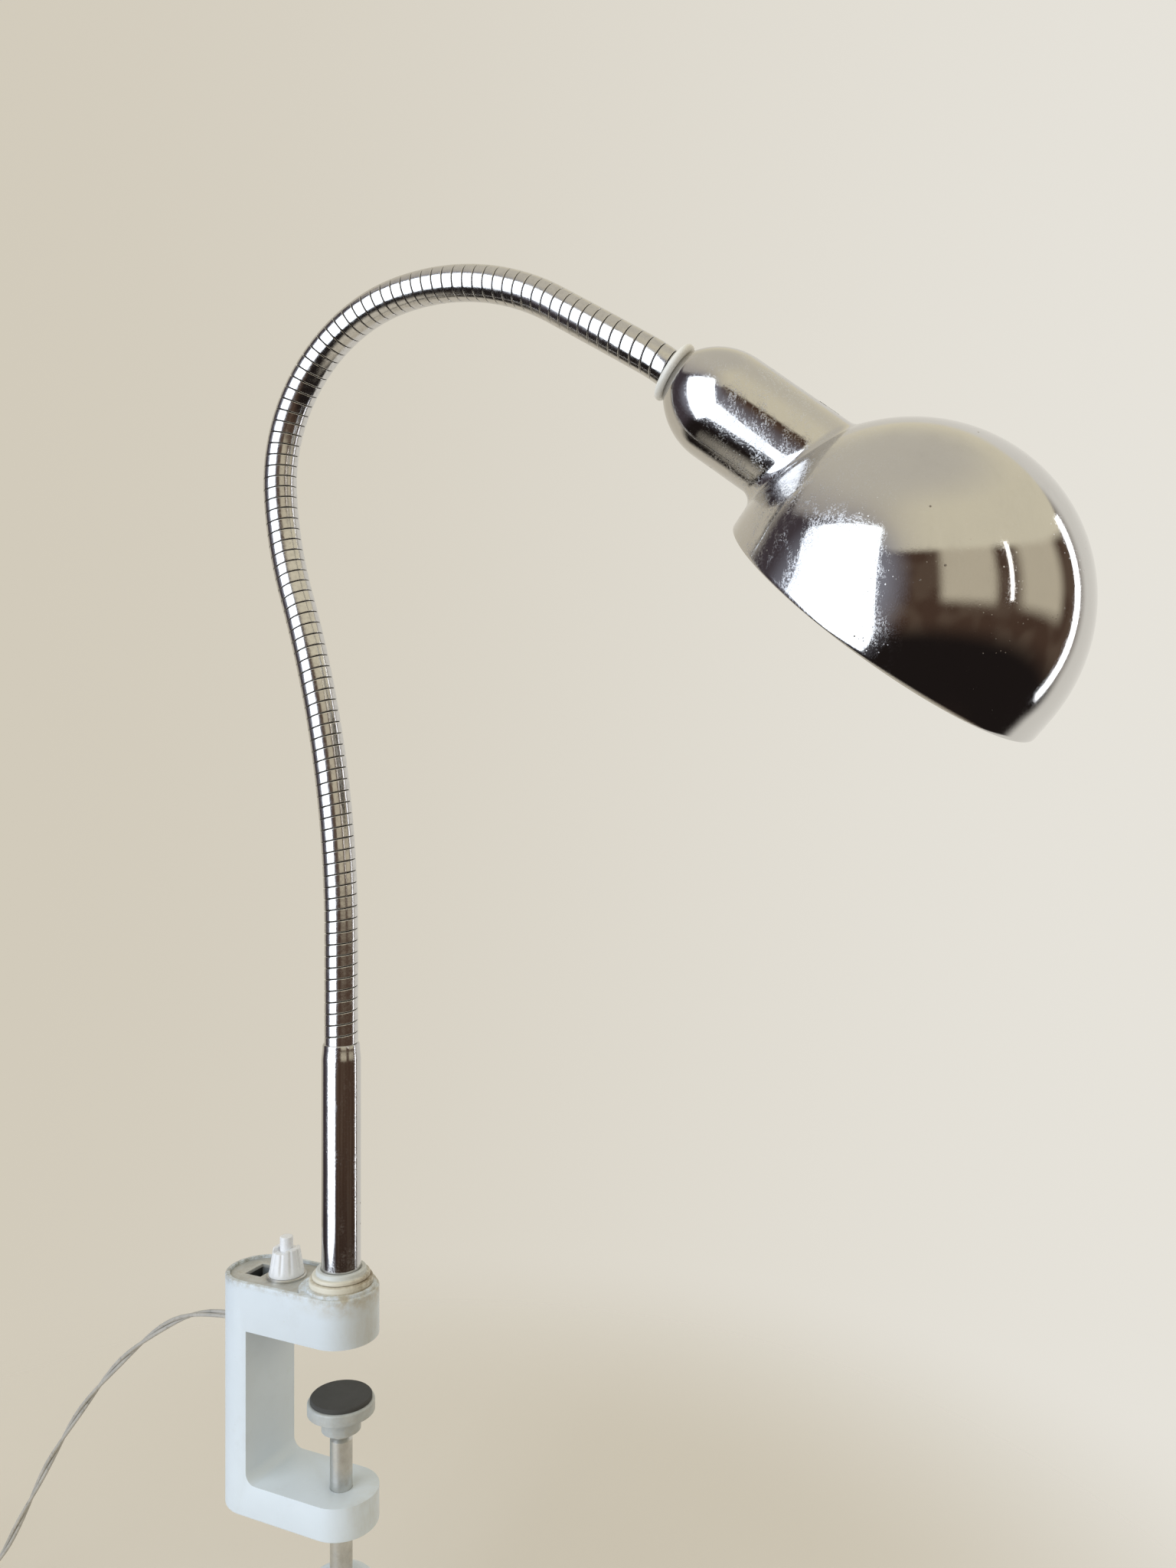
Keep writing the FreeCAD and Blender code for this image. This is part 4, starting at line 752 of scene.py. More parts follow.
@dataclass
class NeckLine:
    """The neck's centreline as tangent runs from the top of the tube, in millimetres."""

    start: float = 104.3
    runs: tuple[tuple[float, float, Bend], ...] = (
        (38.0, 0.0, Bend.IN_PLANE),
        (126.0, -18.4, Bend.IN_PLANE),
        (39.0, 14.9, Bend.IN_PLANE),
        (91.0, 85.7, Bend.IN_PLANE),
        (64.0, 41.0, Bend.IN_PLANE),
        (15.0, 0.0, Bend.IN_PLANE),
        (24.0, 7.3, Bend.SIDE),
        (4.0, 4.6, Bend.IN_PLANE),
        (6.0, 7.0, Bend.SIDE),
        (3.0, 0.0, Bend.IN_PLANE),
    )

    def at(self, station: float) -> tuple[Vector, Vector, Vector]:
        """Follow the line to a station.

        Args:
            station: Distance from the top of the tube; below 0 it runs straight down.

        Returns:
            The place in millimetres, the direction and the side vector.
        """
        place, along, side = Vector((0, 0, self.start)), Vector((0, 0, 1)), Vector((0, 1, 0))
        left = station
        for number, (length, degrees, bend) in enumerate(self.runs):
            last = number == len(self.runs) - 1
            distance = left if last or left < length else length
            axis = side if bend is Bend.IN_PLANE else along.cross(side)
            angle = math.radians(degrees)
            if angle == 0.0:
                place = place + along * distance
            else:
                swept, radius = angle * distance / length, length / angle
                inward = axis.cross(along)
                place = place + along * (radius * math.sin(swept)) \
                    + inward * (radius * (1 - math.cos(swept)))
                spin = Matrix.Rotation(swept, 3, axis)
                along, side = spin @ along, spin @ side
            left -= distance
            if distance != length or left <= 0:
                break
        return place, along, side

    def head(self, station: float, roll: float) -> Matrix:
        """The head's own frame: Z along the lampholder, X towards the shade's crown.

        Args:
            station: Station of the ring's centre.
            roll: Turn about the lampholder's axis, in degrees.

        Returns:
            The frame as a matrix in metres.
        """
        place, along, _ = self.at(station)
        level = Vector((0, 0, 1)).cross(along).normalized()
        crown = Matrix.Rotation(math.radians(roll), 3, along) @ along.cross(level)
        frame = Matrix((crown, along.cross(crown), along)).transposed().to_4x4()
        return Matrix.Translation(place * MM) @ frame


# Carried-over pieces

def carried(node: str, name: str, finish: Finish, body: str,
            edge: float = 0.0, angle: float = 30.0) -> bpy.types.Object:
    """A cleaned copy of a node, with softened edges, that stands for it.

    Args:
        node: The node's name.
        name: The new piece's name.
        finish: What it wears.
        body: The body it rides on.
        edge: Width of the softened edges in millimetres, 0 for none.
        angle: Faces that meet at less than this many degrees are shaded as one.

    Returns:
        The new piece.
    """
    piece = bpy.data.objects.new(name, bpy.data.objects[node].data.copy())
    bpy.context.scene.collection.objects.link(piece)
    if "custom_normal" in piece.data.attributes:
        piece.data.attributes.remove(piece.data.attributes["custom_normal"])
    Bench.take(piece)
    bpy.ops.object.mode_set(mode="EDIT")
    bpy.ops.mesh.select_all(action="SELECT")
    bpy.ops.mesh.remove_doubles(threshold=2e-6)
    bpy.ops.mesh.dissolve_limited(angle_limit=math.radians(0.6))
    bpy.ops.mesh.select_all(action="DESELECT")
    bpy.ops.object.mode_set(mode="OBJECT")
    if edge:
        Bench.apply(piece, "BEVEL", width=edge * MM, segments=2, limit_method="ANGLE",
                    angle_limit=math.radians(40), use_clamp_overlap=True, harden_normals=False)
    Bench.smooth(piece, angle)
    finish.wear(piece)
    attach(piece, body)
    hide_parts(node)
    LOG.info("%s stands for %s", name, node)
    return piece


def finished(piece: bpy.types.Object, finish: Finish, body: str, *nodes: str) -> bpy.types.Object:
    """Dress a new piece, let it ride on its body, and hide the nodes it stands for."""
    finish.wear(piece)
    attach(piece, body)
    if nodes:
        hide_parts(*nodes)
    LOG.info("%s rides on %s", piece.name, body)
    return piece


# Sub-assemblies

@dataclass
class Camera:
    """The photograph's viewpoint: level, from the lamp's right and a little behind it.

    Attributes:
        place: The lens, in millimetres.
        turn: How far the view is turned from +Y, in degrees.
        focal_px: Focal length in pixels of the frame.
        frame_px: Height of the frame in pixels.
    """

    place: Point = (259.1, -345.9, 197.3)
    turn: float = 25.0
    focal_px: float = 1538.0
    frame_px: float = 2048.0

    def build(self) -> None:
        """Set up the camera for a tall frame."""
        data = bpy.data.cameras.new("camera")
        data.sensor_fit = "VERTICAL"
        data.sensor_height = 24.0
        data.lens = self.focal_px / self.frame_px * data.sensor_height
        data.clip_start, data.clip_end = 0.01, 20.0
        camera = bpy.data.objects.new("camera", data)
        camera.location = mm(*self.place)
        camera.rotation_euler = (math.radians(90), 0, math.radians(self.turn))
        bpy.context.scene.collection.objects.link(camera)
        bpy.context.scene.camera = camera


@dataclass
class TwistedCord:
    """The two-core cord: the free lead, the tied coil and the tail to the plug."""

    lead: tuple[Point, ...] = (
        (-50.5, 0.0, -3.0), (-67.0, 0.0, -4.0), (-91.0, 1.0, -17.5), (-119.0, 3.0, -42.0),
        (-145.0, 4.0, -74.0), (-166.0, 4.0, -109.0), (-180.0, 3.0, -134.0),
        (-194.0, 1.5, -146.0), (-216.0, 0.0, -147.8), (-235.0, 0.0, -147.8),
    )
    tail: tuple[Point, ...] = (
        (-241.0, -2.0, -136.1), (-255.0, -2.0, -137.2), (-270.0, -5.0, -140.3),
        (-281.0, -14.5, -143.0), (-285.0, -28.0, -143.25), (-285.0, -40.0, -143.25),
    )
    coil_centre: tuple[float, float] = (-238.0, -24.0)
    coil_floor: float = -147.8
    coil_outer: float = 24.0
    coil_step: float = 2.0
    layer_rise: float = 3.9
    turns_in_layer: int = 6
    layers: int = 4
    core_radius: float = 0.75
    half_twist: float = 36.0
    points_in_half_turn: int = 8

    def coil(self) -> list[Point]:
        """Route points of the coil: in, up, out, up, in, up and out again."""
        points, radius, height, side, inwards = [], self.coil_outer, 0.0, 1, True
        for layer in range(self.layers):
            top = layer == self.layers - 1
            steps = self.turns_in_layer - (1 if top else 0)
            moves = [(self.coil_step * (-1 if inwards else 1), 0.0)] * steps
            if not top:
                moves.append((0.0, self.layer_rise))
            for move, rise in moves:
                for number in range(self.points_in_half_turn):
                    share = number / self.points_in_half_turn
                    ease = (1 - math.cos(math.pi * share)) / 2
                    angle = math.pi * share + (0 if side > 0 else math.pi)
                    reach = (radius + move * ease) * 1.008
                    points.append((
                        self.coil_centre[0] - reach * math.sin(angle),
                        self.coil_centre[1] + reach * math.cos(angle),
                        self.coil_floor + height + rise * ease,
                    ))
                radius += move
                height += rise
                side = -side
            inwards = not inwards
        points.append((self.coil_centre[0], self.coil_centre[1] + side * radius,
                       self.coil_floor + height))
        return points

    def line(self) -> list[Vector]:
        """Points read along the smooth line through the route, in metres."""
        route = list(self.lead) + self.coil() + list(self.tail)
        curve = bpy.data.curves.new("cord_line", "CURVE")
        curve.dimensions = "3D"
        curve.resolution_u = 6
        spline = curve.splines.new("NURBS")
        spline.points.add(len(route) - 1)
        for point, place in zip(spline.points, route):
            point.co = (*mm(*place), 1.0)
        spline.order_u = 3
        spline.use_endpoint_u = True
        holder = bpy.data.objects.new("cord_line", curve)
        bpy.context.scene.collection.objects.link(holder)
        bpy.context.view_layer.update()
        mesh = bpy.data.meshes.new_from_object(
            holder.evaluated_get(bpy.context.evaluated_depsgraph_get()))
        points = [vertex.co.copy() for vertex in mesh.vertices]
        bpy.data.objects.remove(holder, do_unlink=True)
        bpy.data.meshes.remove(mesh)
        return points

    def core(self, line: list[Vector], phase: float) -> bpy.types.Object:
        """One core, wound round the cord's line.

        Args:
            line: Points of the cord's line.
            phase: Where round the line the core starts, in radians.

        Returns:
            The core as a mesh tube.
        """
        curve = bpy.data.curves.new("cord_core", "CURVE")
        curve.dimensions = "3D"
        curve.bevel_depth = self.core_radius * MM
        curve.bevel_resolution = 2
        curve.use_fill_caps = True
        spline = curve.splines.new("POLY")
        spline.points.add(len(line) - 1)
        run, normal = 0.0, Vector((0, 0, 1))
        for number, place in enumerate(line):
            ahead = line[min(number + 1, len(line) - 1)] - line[max(number - 1, 0)]
            ahead.normalize()
            normal = (normal - ahead * normal.dot(ahead)).normalized()
            if number:
                run += (place - line[number - 1]).length / MM
            angle = phase + math.pi * run / self.half_twist
            out = normal * math.cos(angle) + ahead.cross(normal) * math.sin(angle)
            spline.points[number].co = (*(place + out * self.core_radius * MM), 1.0)
        core = bpy.data.objects.new("cord_core", curve)
        bpy.context.scene.collection.objects.link(core)
        Bench.take(core)
        bpy.ops.object.convert(target="MESH")
        return core

    def build(self) -> None:
        """Make the cord, its tie, plug and pins."""
        line = self.line()
        cord = Bench.join("cord", [self.core(line, 0.0), self.core(line, math.pi)])
        Bench.smooth(cord, 60)
        finished(cord, Finish.CORD, "clamp", "cord_lead", "cord_coil", "cord_tail")
        plug = carried("plug_body", "plug_shell", Finish.PLUG, "clamp", edge=0.9)
        pins = carried("plug_pins", "plug_contacts", Finish.ZINC, "clamp")
        tie = carried("coil_tie", "coil_band", Finish.TIE, "clamp", edge=0.1)


@dataclass
class Clamp:
    """The moulded clamp with its top plate, switch, bush, screw, pad and knob.

    The bell is the switch's tall nut. `spring_keep`, the share of its length that the
    spring under the button keeps when the button is pressed, is not used.
    """

    edge: float = 0.35
    switch_back: float = 24.6
    bell_foot: float = 17.3
    bell_height: float = 9.7
    bell_radii: tuple[float, float] = (6.45, 5.05)
    neck_bore: float = 4.95
    plunger_radius: float = 2.4
    plunger_foot: float = 13.6
    spring_foot: float = 8.03
    spring_keep: float = 0.54
    plunger_rise: float = 4.0
    slot: Point = (5.2, 20.0, 2.4)
    flutes: int = 10
    flute_start: float = 0.9
    flute_run: float = 1.6
    flute_depth: float = 0.34

    def bell(self) -> bpy.types.Object:
        """The switch's tall conical nut: shallow flutes, and a slot across its crown."""
        wide, narrow = self.bell_radii
        low, top = self.bell_foot, self.bell_foot + self.bell_height
        wall = [(wide - 0.12, low), (wide, low + 0.12), (wide, low + 0.75)]
        for number in range(1, 13):
            share = number / 12
            wall.append((wide + (narrow - wide) * share - 0.1,
                         low + 0.85 + (top - low - 1.55) * share))
        crown = arc((narrow - 0.75, top - 0.65), 0.65, 0, 90, 6)
        bore = self.plunger_radius + 0.1
        inside = [(bore, top), (bore, low + 5.5),
                  (self.neck_bore, low + 5.5), (self.neck_bore, low)]
        piece = Bench.turned("switch_bell", wall + crown + inside, steps=180)
        for vertex in piece.data.vertices:
            radius = math.hypot(vertex.co.x, vertex.co.y)
            height = vertex.co.z / MM - low
            if radius < (narrow - 0.9) * MM or height < self.flute_start:
                continue
            wave = max(0.0, math.cos(self.flutes * math.atan2(vertex.co.y, vertex.co.x)))
            fade = min(1.0, (height - self.flute_start) / self.flute_run)
            depth = self.flute_depth * wave ** 2 * fade * MM
            vertex.co.x *= (radius - depth) / radius
            vertex.co.y *= (radius - depth) / radius
        Bench.cut(piece, Bench.bar(self.slot, (0, 0, top), 0.4))
        Bench.apply(piece, "BEVEL", width=0.16 * MM, segments=2, limit_method="ANGLE",
                    angle_limit=math.radians(50), use_clamp_overlap=True)
        Bench.place(piece, Matrix.Translation(mm(-self.switch_back, 0, 0)))
        Bench.smooth(piece, 40)
        return piece

    def plunger(self) -> bpy.types.Object:
        """The push button in the nut's bore."""
        top = self.bell_foot + self.bell_height + self.plunger_rise
        crown = arc((self.plunger_radius - 0.45, top - 0.45), 0.45, 0, 90, 6)
        piece = Bench.turned("switch_plunger", [
            (0, self.plunger_foot), (self.plunger_radius - 0.1, self.plunger_foot),
            (self.plunger_radius, self.plunger_foot + 0.1)] + crown + [(0, top)], steps=96)
        Bench.place(piece, Matrix.Translation(mm(-self.switch_back, 0, 0)))
        Bench.smooth(piece, 40)
        return piece

    def build(self) -> None:
        """Make the clamp's pieces."""
        carried("clamp_body", "clamp_shell", Finish.CLAMP, "clamp", edge=self.edge)
        carried("top_plate", "wiring_plate", Finish.PLATE, "clamp", edge=0.15)
        carried("cord_grommet", "cord_outlet", Finish.IVORY, "clamp")
        carried("tube_bush", "column_bush", Finish.IVORY, "clamp")
        carried("switch_body", "switch_case", Finish.DARK, "clamp", edge=0.15)
        carried("switch_terminals", "switch_tabs", Finish.BRASS, "clamp")
        carried("switch_washer", "switch_plate", Finish.ZINC, "clamp")
        finished(self.bell(), Finish.SWITCH, "clamp", "switch_nut")
        spring = carried("button_spring", "button_coil", Finish.ZINC, "clamp")
        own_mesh(spring)
        finished(self.plunger(), Finish.SWITCH, "button", "switch_button")
        carried("swivel_pad", "pad_cup", Finish.PAD, "pad")
        carried("pad_liner", "pad_disc", Finish.LINER, "pad")
        carried("clamp_screw", "screw_shaft", Finish.ZINC, "screw")
        carried("screw_knob", "screw_grip", Finish.CLAMP, "screw", edge=0.3)


@dataclass
class Column:
    """The straight chromed tube, its collar and its hidden retaining ring."""

    radius: float = 7.0
    wall: float = 0.9
    foot: float = 3.5
    top: float = 104.3
    swage: float = 6.0
    lip: float = 6.45
    collar_foot: float = 20.9
    collar_radius: float = 10.25
    collar_step: float = 8.9
    collar_height: float = 3.0

    def collar(self) -> bpy.types.Object:
        """The ring that rides on the bush, with a smaller clear flange on top."""
        foot, wide, narrow = self.collar_foot, self.collar_radius, self.collar_step
        ring = arc((wide - 0.55, foot + 0.85), 0.55, 0, 80, 6)
        step = arc((narrow - 0.5, foot + self.collar_height - 0.5), 0.5, 0, 90, 6)
        piece = Bench.turned("column_ring", [
            (self.radius, foot), (wide - 0.15, foot), (wide, foot + 0.15)] + ring + [
            (narrow + 0.1, foot + 1.45), (narrow, foot + 1.6)] + step + [
            (self.radius + 0.45, foot + self.collar_height),
            (self.radius, foot + self.collar_height - 0.45)], steps=128)
        Bench.smooth(piece, 40)
        return piece

    def tube(self) -> bpy.types.Object:
        """The tube, drawn in softly at the top."""
        inner = self.radius - self.wall
        outside = [(self.radius, self.foot + 0.3), (self.radius, self.top - self.swage)]
        for number in range(1, 9):
            share = number / 8
            ease = share * share * (3 - 2 * share)
            outside.append((self.radius - (self.radius - self.lip - 0.15) * ease,
                            self.top - self.swage + (self.swage - 0.9) * share))
        lip = arc((self.lip - 0.30, self.top - 0.35), 0.35, 10, 170, 6)
        points = [(inner, self.foot), (self.radius - 0.3, self.foot)] + outside + lip
        return Bench.turned("column_pipe", points + [(inner, self.top - 0.9)], steps=128)

    def build(self) -> None:
        """Make the column's pieces."""
        tube = self.tube()
        Bench.smooth(tube, 40)
        finished(tube, Finish.TUBE, "column", "column_tube")
        finished(self.collar(), Finish.IVORY, "column", "column_collar")
        carried("column_clip", "column_keeper", Finish.ZINC, "column")


@dataclass
class Hose:
    """The gooseneck: chromed strip wound in one helix, in five pieces laid along the neck's line.

    Each piece is twenty turns long; the hidden ball joint is at the middle of its length,
    and the span of `bend_half` either side of it is worked out but not used. The first
    one has a few turns more, inside the tube.
    """

    line: NeckLine = field(default_factory=NeckLine)
    pitch: float = 4.1
    turns: int = 20
    land: float = 6.0
    groove: float = 5.35
    bodies: tuple[str, ...] = ("column", "link_1", "link_2", "link_3", "link_4", "head")
    bend_half: float = 24.0
    foot_turns: int = 2
    nodes: tuple[tuple[str, ...], ...] = (
        ("neck_foot", "neck_link_1"), ("neck_link_2",), ("neck_link_3",), ("neck_link_4",),
        ("neck_end",),
    )

    def section(self) -> list[tuple[float, float]]:
        """One turn's section: a rolled land between two halves of the dark gap."""
        edge = self.land - 0.08
        return [
            (self.groove, 0.0), (self.groove + 0.05, 0.10), (self.land - 0.24, 0.15),
            (edge, 0.20), (self.land - 0.01, 0.29), (self.land, 0.39), (self.land, 0.50),
            (self.land, 2.05), (self.land, 3.60), (self.land, 3.71), (self.land - 0.01, 3.81),
            (edge, 3.90), (self.land - 0.24, 3.95), (self.groove + 0.05, 4.0),
            (self.groove, self.pitch),
        ]

    def winding(self, name: str, turns: int, steps: int = 56) -> bpy.types.Object:
        """A straight length of wound strip that starts at the origin."""
        piece = Bench.profile(name, self.section())
        bpy.ops.object.mode_set(mode="OBJECT")
        Bench.apply(piece, "SCREW", axis="Z", angle=math.tau, screw_offset=self.pitch * MM,
                    iterations=turns, steps=steps, render_steps=steps, use_merge_vertices=False)
        Bench.take(piece)
        bpy.ops.object.mode_set(mode="EDIT")
        bpy.ops.mesh.select_all(action="SELECT")
        bpy.ops.mesh.remove_doubles(threshold=2e-6)
        bpy.ops.mesh.normals_make_consistent(inside=False)
        bpy.ops.object.mode_set(mode="OBJECT")
        depth = piece.data.attributes.new("depth", "FLOAT", "POINT")
        for vertex in piece.data.vertices:
            radius = math.hypot(vertex.co.x, vertex.co.y) / MM
            depth.data[vertex.index].value = (self.land - radius) / (self.land - self.groove)
        return piece

    def bent(self, piece: bpy.types.Object, start: float) -> None:
        """Lay a straight length along the neck's line.

        Args:
            piece: The length, along Z from the origin.
            start: Station where it begins.
        """
        for vertex in piece.data.vertices:
            x, y, z = vertex.co / MM
            place, along, side = self.line.at(start + z)
            vertex.co = (place + side.cross(along) * x + side * y) * MM

    def build(self) -> None:
        """Make the five pieces and lay each along the neck's line."""
        length = self.pitch * self.turns
        for number, nodes in enumerate(self.nodes):
            extra = self.foot_turns if number == 0 else 0
            piece = self.winding(f"hose_{number + 1}", self.turns + extra)
            start = number * length - extra * self.pitch
            self.bent(piece, start)
            Bench.smooth(piece, 50)
            Finish.HOSE.wear(piece)
            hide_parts(*nodes)
            pivot = number * length + length / 2
            low, _, _ = self.line.at(pivot - self.bend_half)
            high, _, _ = self.line.at(pivot + self.bend_half)
            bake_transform(piece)
            LOG.info("%s bends between %s and %s", piece.name, *self.bodies[number:number + 2])


@dataclass
class Head:
    """The ring, socket cover, shade, lampholder and lamp, on the lampholder's axis.

    Heights run along that axis from the ring's centre. Each slit in the cover has a
    width, a start and an end.
    """

    line: NeckLine = field(default_factory=NeckLine)
    ring_station: float = 407.0
    roll: float = 20.0
    ring_half: float = 1.15
    ring_radius: float = 9.8
    ring_bore: float = 6.2
    cover_bore: float = 6.3
    cover_radius: float = 17.5
    wall: float = 0.8
    shoulder: float = 23.35
    shoulder_end: float = 20.0
    shade_radius: float = 57.5
    skirt: float = 7.0
    reach: float = 100.6
    offset: float = 19.4
    flare: float = 4.2
    collar_rise: float = 4.5
    bead: float = 0.75
    slits: tuple[Point, ...] = ((0.9, 45.0, 80.0), (2.0, 43.5, 46.1))

    def __post_init__(self) -> None:
        """Work out the head's frame and the shade's."""
        self.frame = self.line.head(self.ring_station, self.roll)
        crown_up = Matrix(((0, 0, 1), (0, -1, 0), (1, 0, 0))).to_4x4()
        centre = Matrix.Translation(mm(-self.offset, 0, self.reach))
        self.dome = self.frame @ centre @ crown_up

    def shade_inside(self, radius: float) -> bpy.types.Object:
        """A ball about the dome's centre, as a cutter in the head's frame."""
        Bench.clear()
        bpy.ops.mesh.primitive_uv_sphere_add(
            segments=192, ring_count=96, radius=radius * MM,
            location=mm(-self.offset, 0, self.reach), rotation=(0, math.pi / 2, 0))
        return bpy.context.object

    def cover(self) -> bpy.types.Object:
        """The drawn socket cover, hollow, slit, and cut to the shade's collar."""
        outer, inner = self.cover_radius, self.cover_radius - self.wall
        centre = (self.cover_radius - self.shoulder, self.shoulder_end)
        low = math.degrees(math.asin((self.shoulder_end - self.ring_half) / self.shoulder))
        low_in = math.degrees(math.asin(
            (self.shoulder_end - self.ring_half - self.wall) / (self.shoulder - self.wall)))
        back = arc(centre, self.shoulder, -low, 0, 22)
        back_in = arc(centre, self.shoulder - self.wall, 0, -low_in, 14)
        stops = [self.shoulder_end + (self.reach - self.shoulder_end) * i / 8 for i in range(1, 9)]
        section = [(self.cover_bore, self.ring_half)] + back + [(outer, z) for z in stops]
        section += [(inner, z) for z in reversed(stops)] + back_in
        section += [(self.cover_bore, self.ring_half + self.wall)]
        piece = Bench.turned("socket_shell", section, steps=160)
        Bench.cut(piece, self.shade_inside(self.shade_radius + self.collar_rise))
        for width, start, end in self.slits:
            size, place = (6, width, end - start), (outer, 0, (start + end) / 2)
            Bench.cut(piece, Bench.bar(size, place, 0.25))
        Bench.place(piece, self.frame)
        Bench.smooth(piece, 30)
        return piece

    def dome_shell(self) -> bpy.types.Object:
        """The spun dome and skirt with its rolled rim and the collar's hole."""
        outer, inner = self.shade_radius, self.shade_radius - self.wall
        shell = arc((0, 0), outer, 0, 90, 60)
        lining = arc((0, 0), inner, 90, 0, 60)
        shell[-1], lining[0] = (0.0, outer), (0.0, inner)
        rim = arc((outer - self.bead, -self.skirt), self.bead, 180, 360, 10)
        section = [(outer, -self.skirt + 0.6)] + shell + lining + [(inner, -self.skirt + 0.6)]
        piece = Bench.turned("shade_dome", section + rim[1:-1], steps=192)
        Bench.place(piece, self.dome)
        Bench.clear()
        bpy.ops.mesh.primitive_cylinder_add(vertices=96, radius=(self.cover_radius - 0.6) * MM,
                                            depth=60 * MM)
        drill = bpy.context.object
        Bench.place(drill, self.frame @ Matrix.Translation(mm(0, 0, self.reach - 60)))
        Bench.cut(piece, drill)
        return piece

    def flare_rings(self, around: float, steps: int) -> list[Vector]:
        """The collar's section at one angle round the lampholder's axis.

        Args:
            around: The angle, in radians.
            steps: Spans of the flare.

        Returns:
            Points in the head's frame, in millimetres, from the dome to the cover.
        """
        out = Vector((math.cos(around), math.sin(around), 0))
        centre = Vector((-self.offset, 0, self.reach))

        def height(distance: float, reach: float) -> float:
            """Where a line beside the axis meets a ball about the dome's centre."""
            side = (out * distance - Vector((centre.x, centre.y, 0))).length
            return centre.z - math.sqrt(reach * reach - side * side)

        ball_out = self.cover_radius + self.flare
        ball = out * ball_out + Vector((0, 0, height(ball_out, self.shade_radius + self.flare)))
        below = ball - centre
        if below.x < 0:
            rise = math.sqrt(max(0.0, (self.shade_radius + self.flare) ** 2 - below.y ** 2))
            ball.z = centre.z - rise
            below = ball - centre
            flat = Vector((0, below.y, below.z)).normalized() * self.shade_radius
            touch = centre + Vector((below.x, flat.y, flat.z))
        else:
            touch = centre + below.normalized() * self.shade_radius
        start = (touch - ball).normalized()
        end = -out
        points = [touch + (touch - ball).normalized() * 0.05]
        total = start.angle(end)
        for number in range(steps + 1):
            share = number / steps
            way = (start * math.sin((1 - share) * total) + end * math.sin(share * total))
            points.append(ball + way.normalized() * self.flare)
        edge = height(self.cover_radius, self.shade_radius + self.collar_rise)
        top = out * self.cover_radius
        points.append(Vector((top.x, top.y, min(edge, points[-1].z - 0.05))))
        lip = out * (self.cover_radius - self.wall)
        points.append(Vector((lip.x, lip.y, points[-1].z)))
        points.append(Vector((lip.x, lip.y, points[1].z + 2.0)))
        return points

    def collar(self) -> bpy.types.Object:
        """The flared collar at the dome's side, ring by ring round the axis."""
        sides, steps = 160, 12
        rings = [self.flare_rings(math.tau * i / sides, steps) for i in range(sides)]
        mesh = bpy.data.meshes.new("shade_collar")
        builder = bmesh.new()
        grid = [[builder.verts.new(point * MM) for point in ring] for ring in rings]
        count = len(rings[0])
        for number, ring in enumerate(grid):
            following = grid[(number + 1) % sides]
            for place in range(count):
                after = (place + 1) % count
                builder.faces.new((ring[place], following[place], following[after], ring[after]))
        bmesh.ops.recalc_face_normals(builder, faces=builder.faces)
        builder.to_mesh(mesh)
        builder.free()
        piece = bpy.data.objects.new("shade_collar", mesh)
        bpy.context.scene.collection.objects.link(piece)
        Bench.place(piece, self.frame)
        return piece

    def sleeve(self) -> bpy.types.Object:
        """The short sleeve that plugs into the cover."""
        outer = self.cover_radius - self.wall - 0.05
        inner = outer - self.wall
        low = self.reach - self.shade_radius - self.collar_rise - 10.0
        piece = Bench.turned("shade_sleeve", [
            (inner, low), (outer - 0.2, low), (outer, low + 0.2), (outer, low + 19),
            (inner, low + 19),
        ])
        Bench.place(piece, self.frame)
        return piece

    def ring(self) -> bpy.types.Object:
        """The white ring, rounded all over."""
        low, half = -self.ring_half - 0.3, self.ring_half + 0.15
        rim = arc((self.ring_radius - half, low + half), half, -90, 90, 14)
        section = [(self.ring_bore, low)] + rim + [(self.ring_bore, self.ring_half)]
        piece = Bench.turned("neck_washer", section, steps=128)
        Bench.place(piece, self.frame)
        return piece

    def build(self) -> None:
        """Make the head's pieces."""
        ring = self.ring()
        Bench.smooth(ring, 50)
        finished(ring, Finish.RING, "head", "neck_ring")
        finished(self.cover(), Finish.CHROME, "head", "socket_cover")
        shade = Bench.join("shade_bowl", [self.dome_shell(), self.collar(), self.sleeve()])
        Bench.smooth(shade, 30)
        finished(shade, Finish.CHROME, "head", "shade")
        carried("neck_nipple", "neck_fitting", Finish.BRASS, "head")
        carried("holder_cap", "holder_back", Finish.DARK, "head", edge=0.3)
        carried("lampholder", "holder_front", Finish.DARK, "head", edge=0.3)
        carried("holder_ring", "holder_spacer", Finish.DARK, "head")
        carried("lamp_shell", "holder_thread", Finish.BRASS, "head")
        carried("lamp_contact", "holder_contact", Finish.BRASS, "head")
        carried("lamp_cap", "lamp_base", Finish.BRASS, "head")
        carried("lamp_glass", "lamp_globe", Finish.GLASS, "head", angle=60.0)


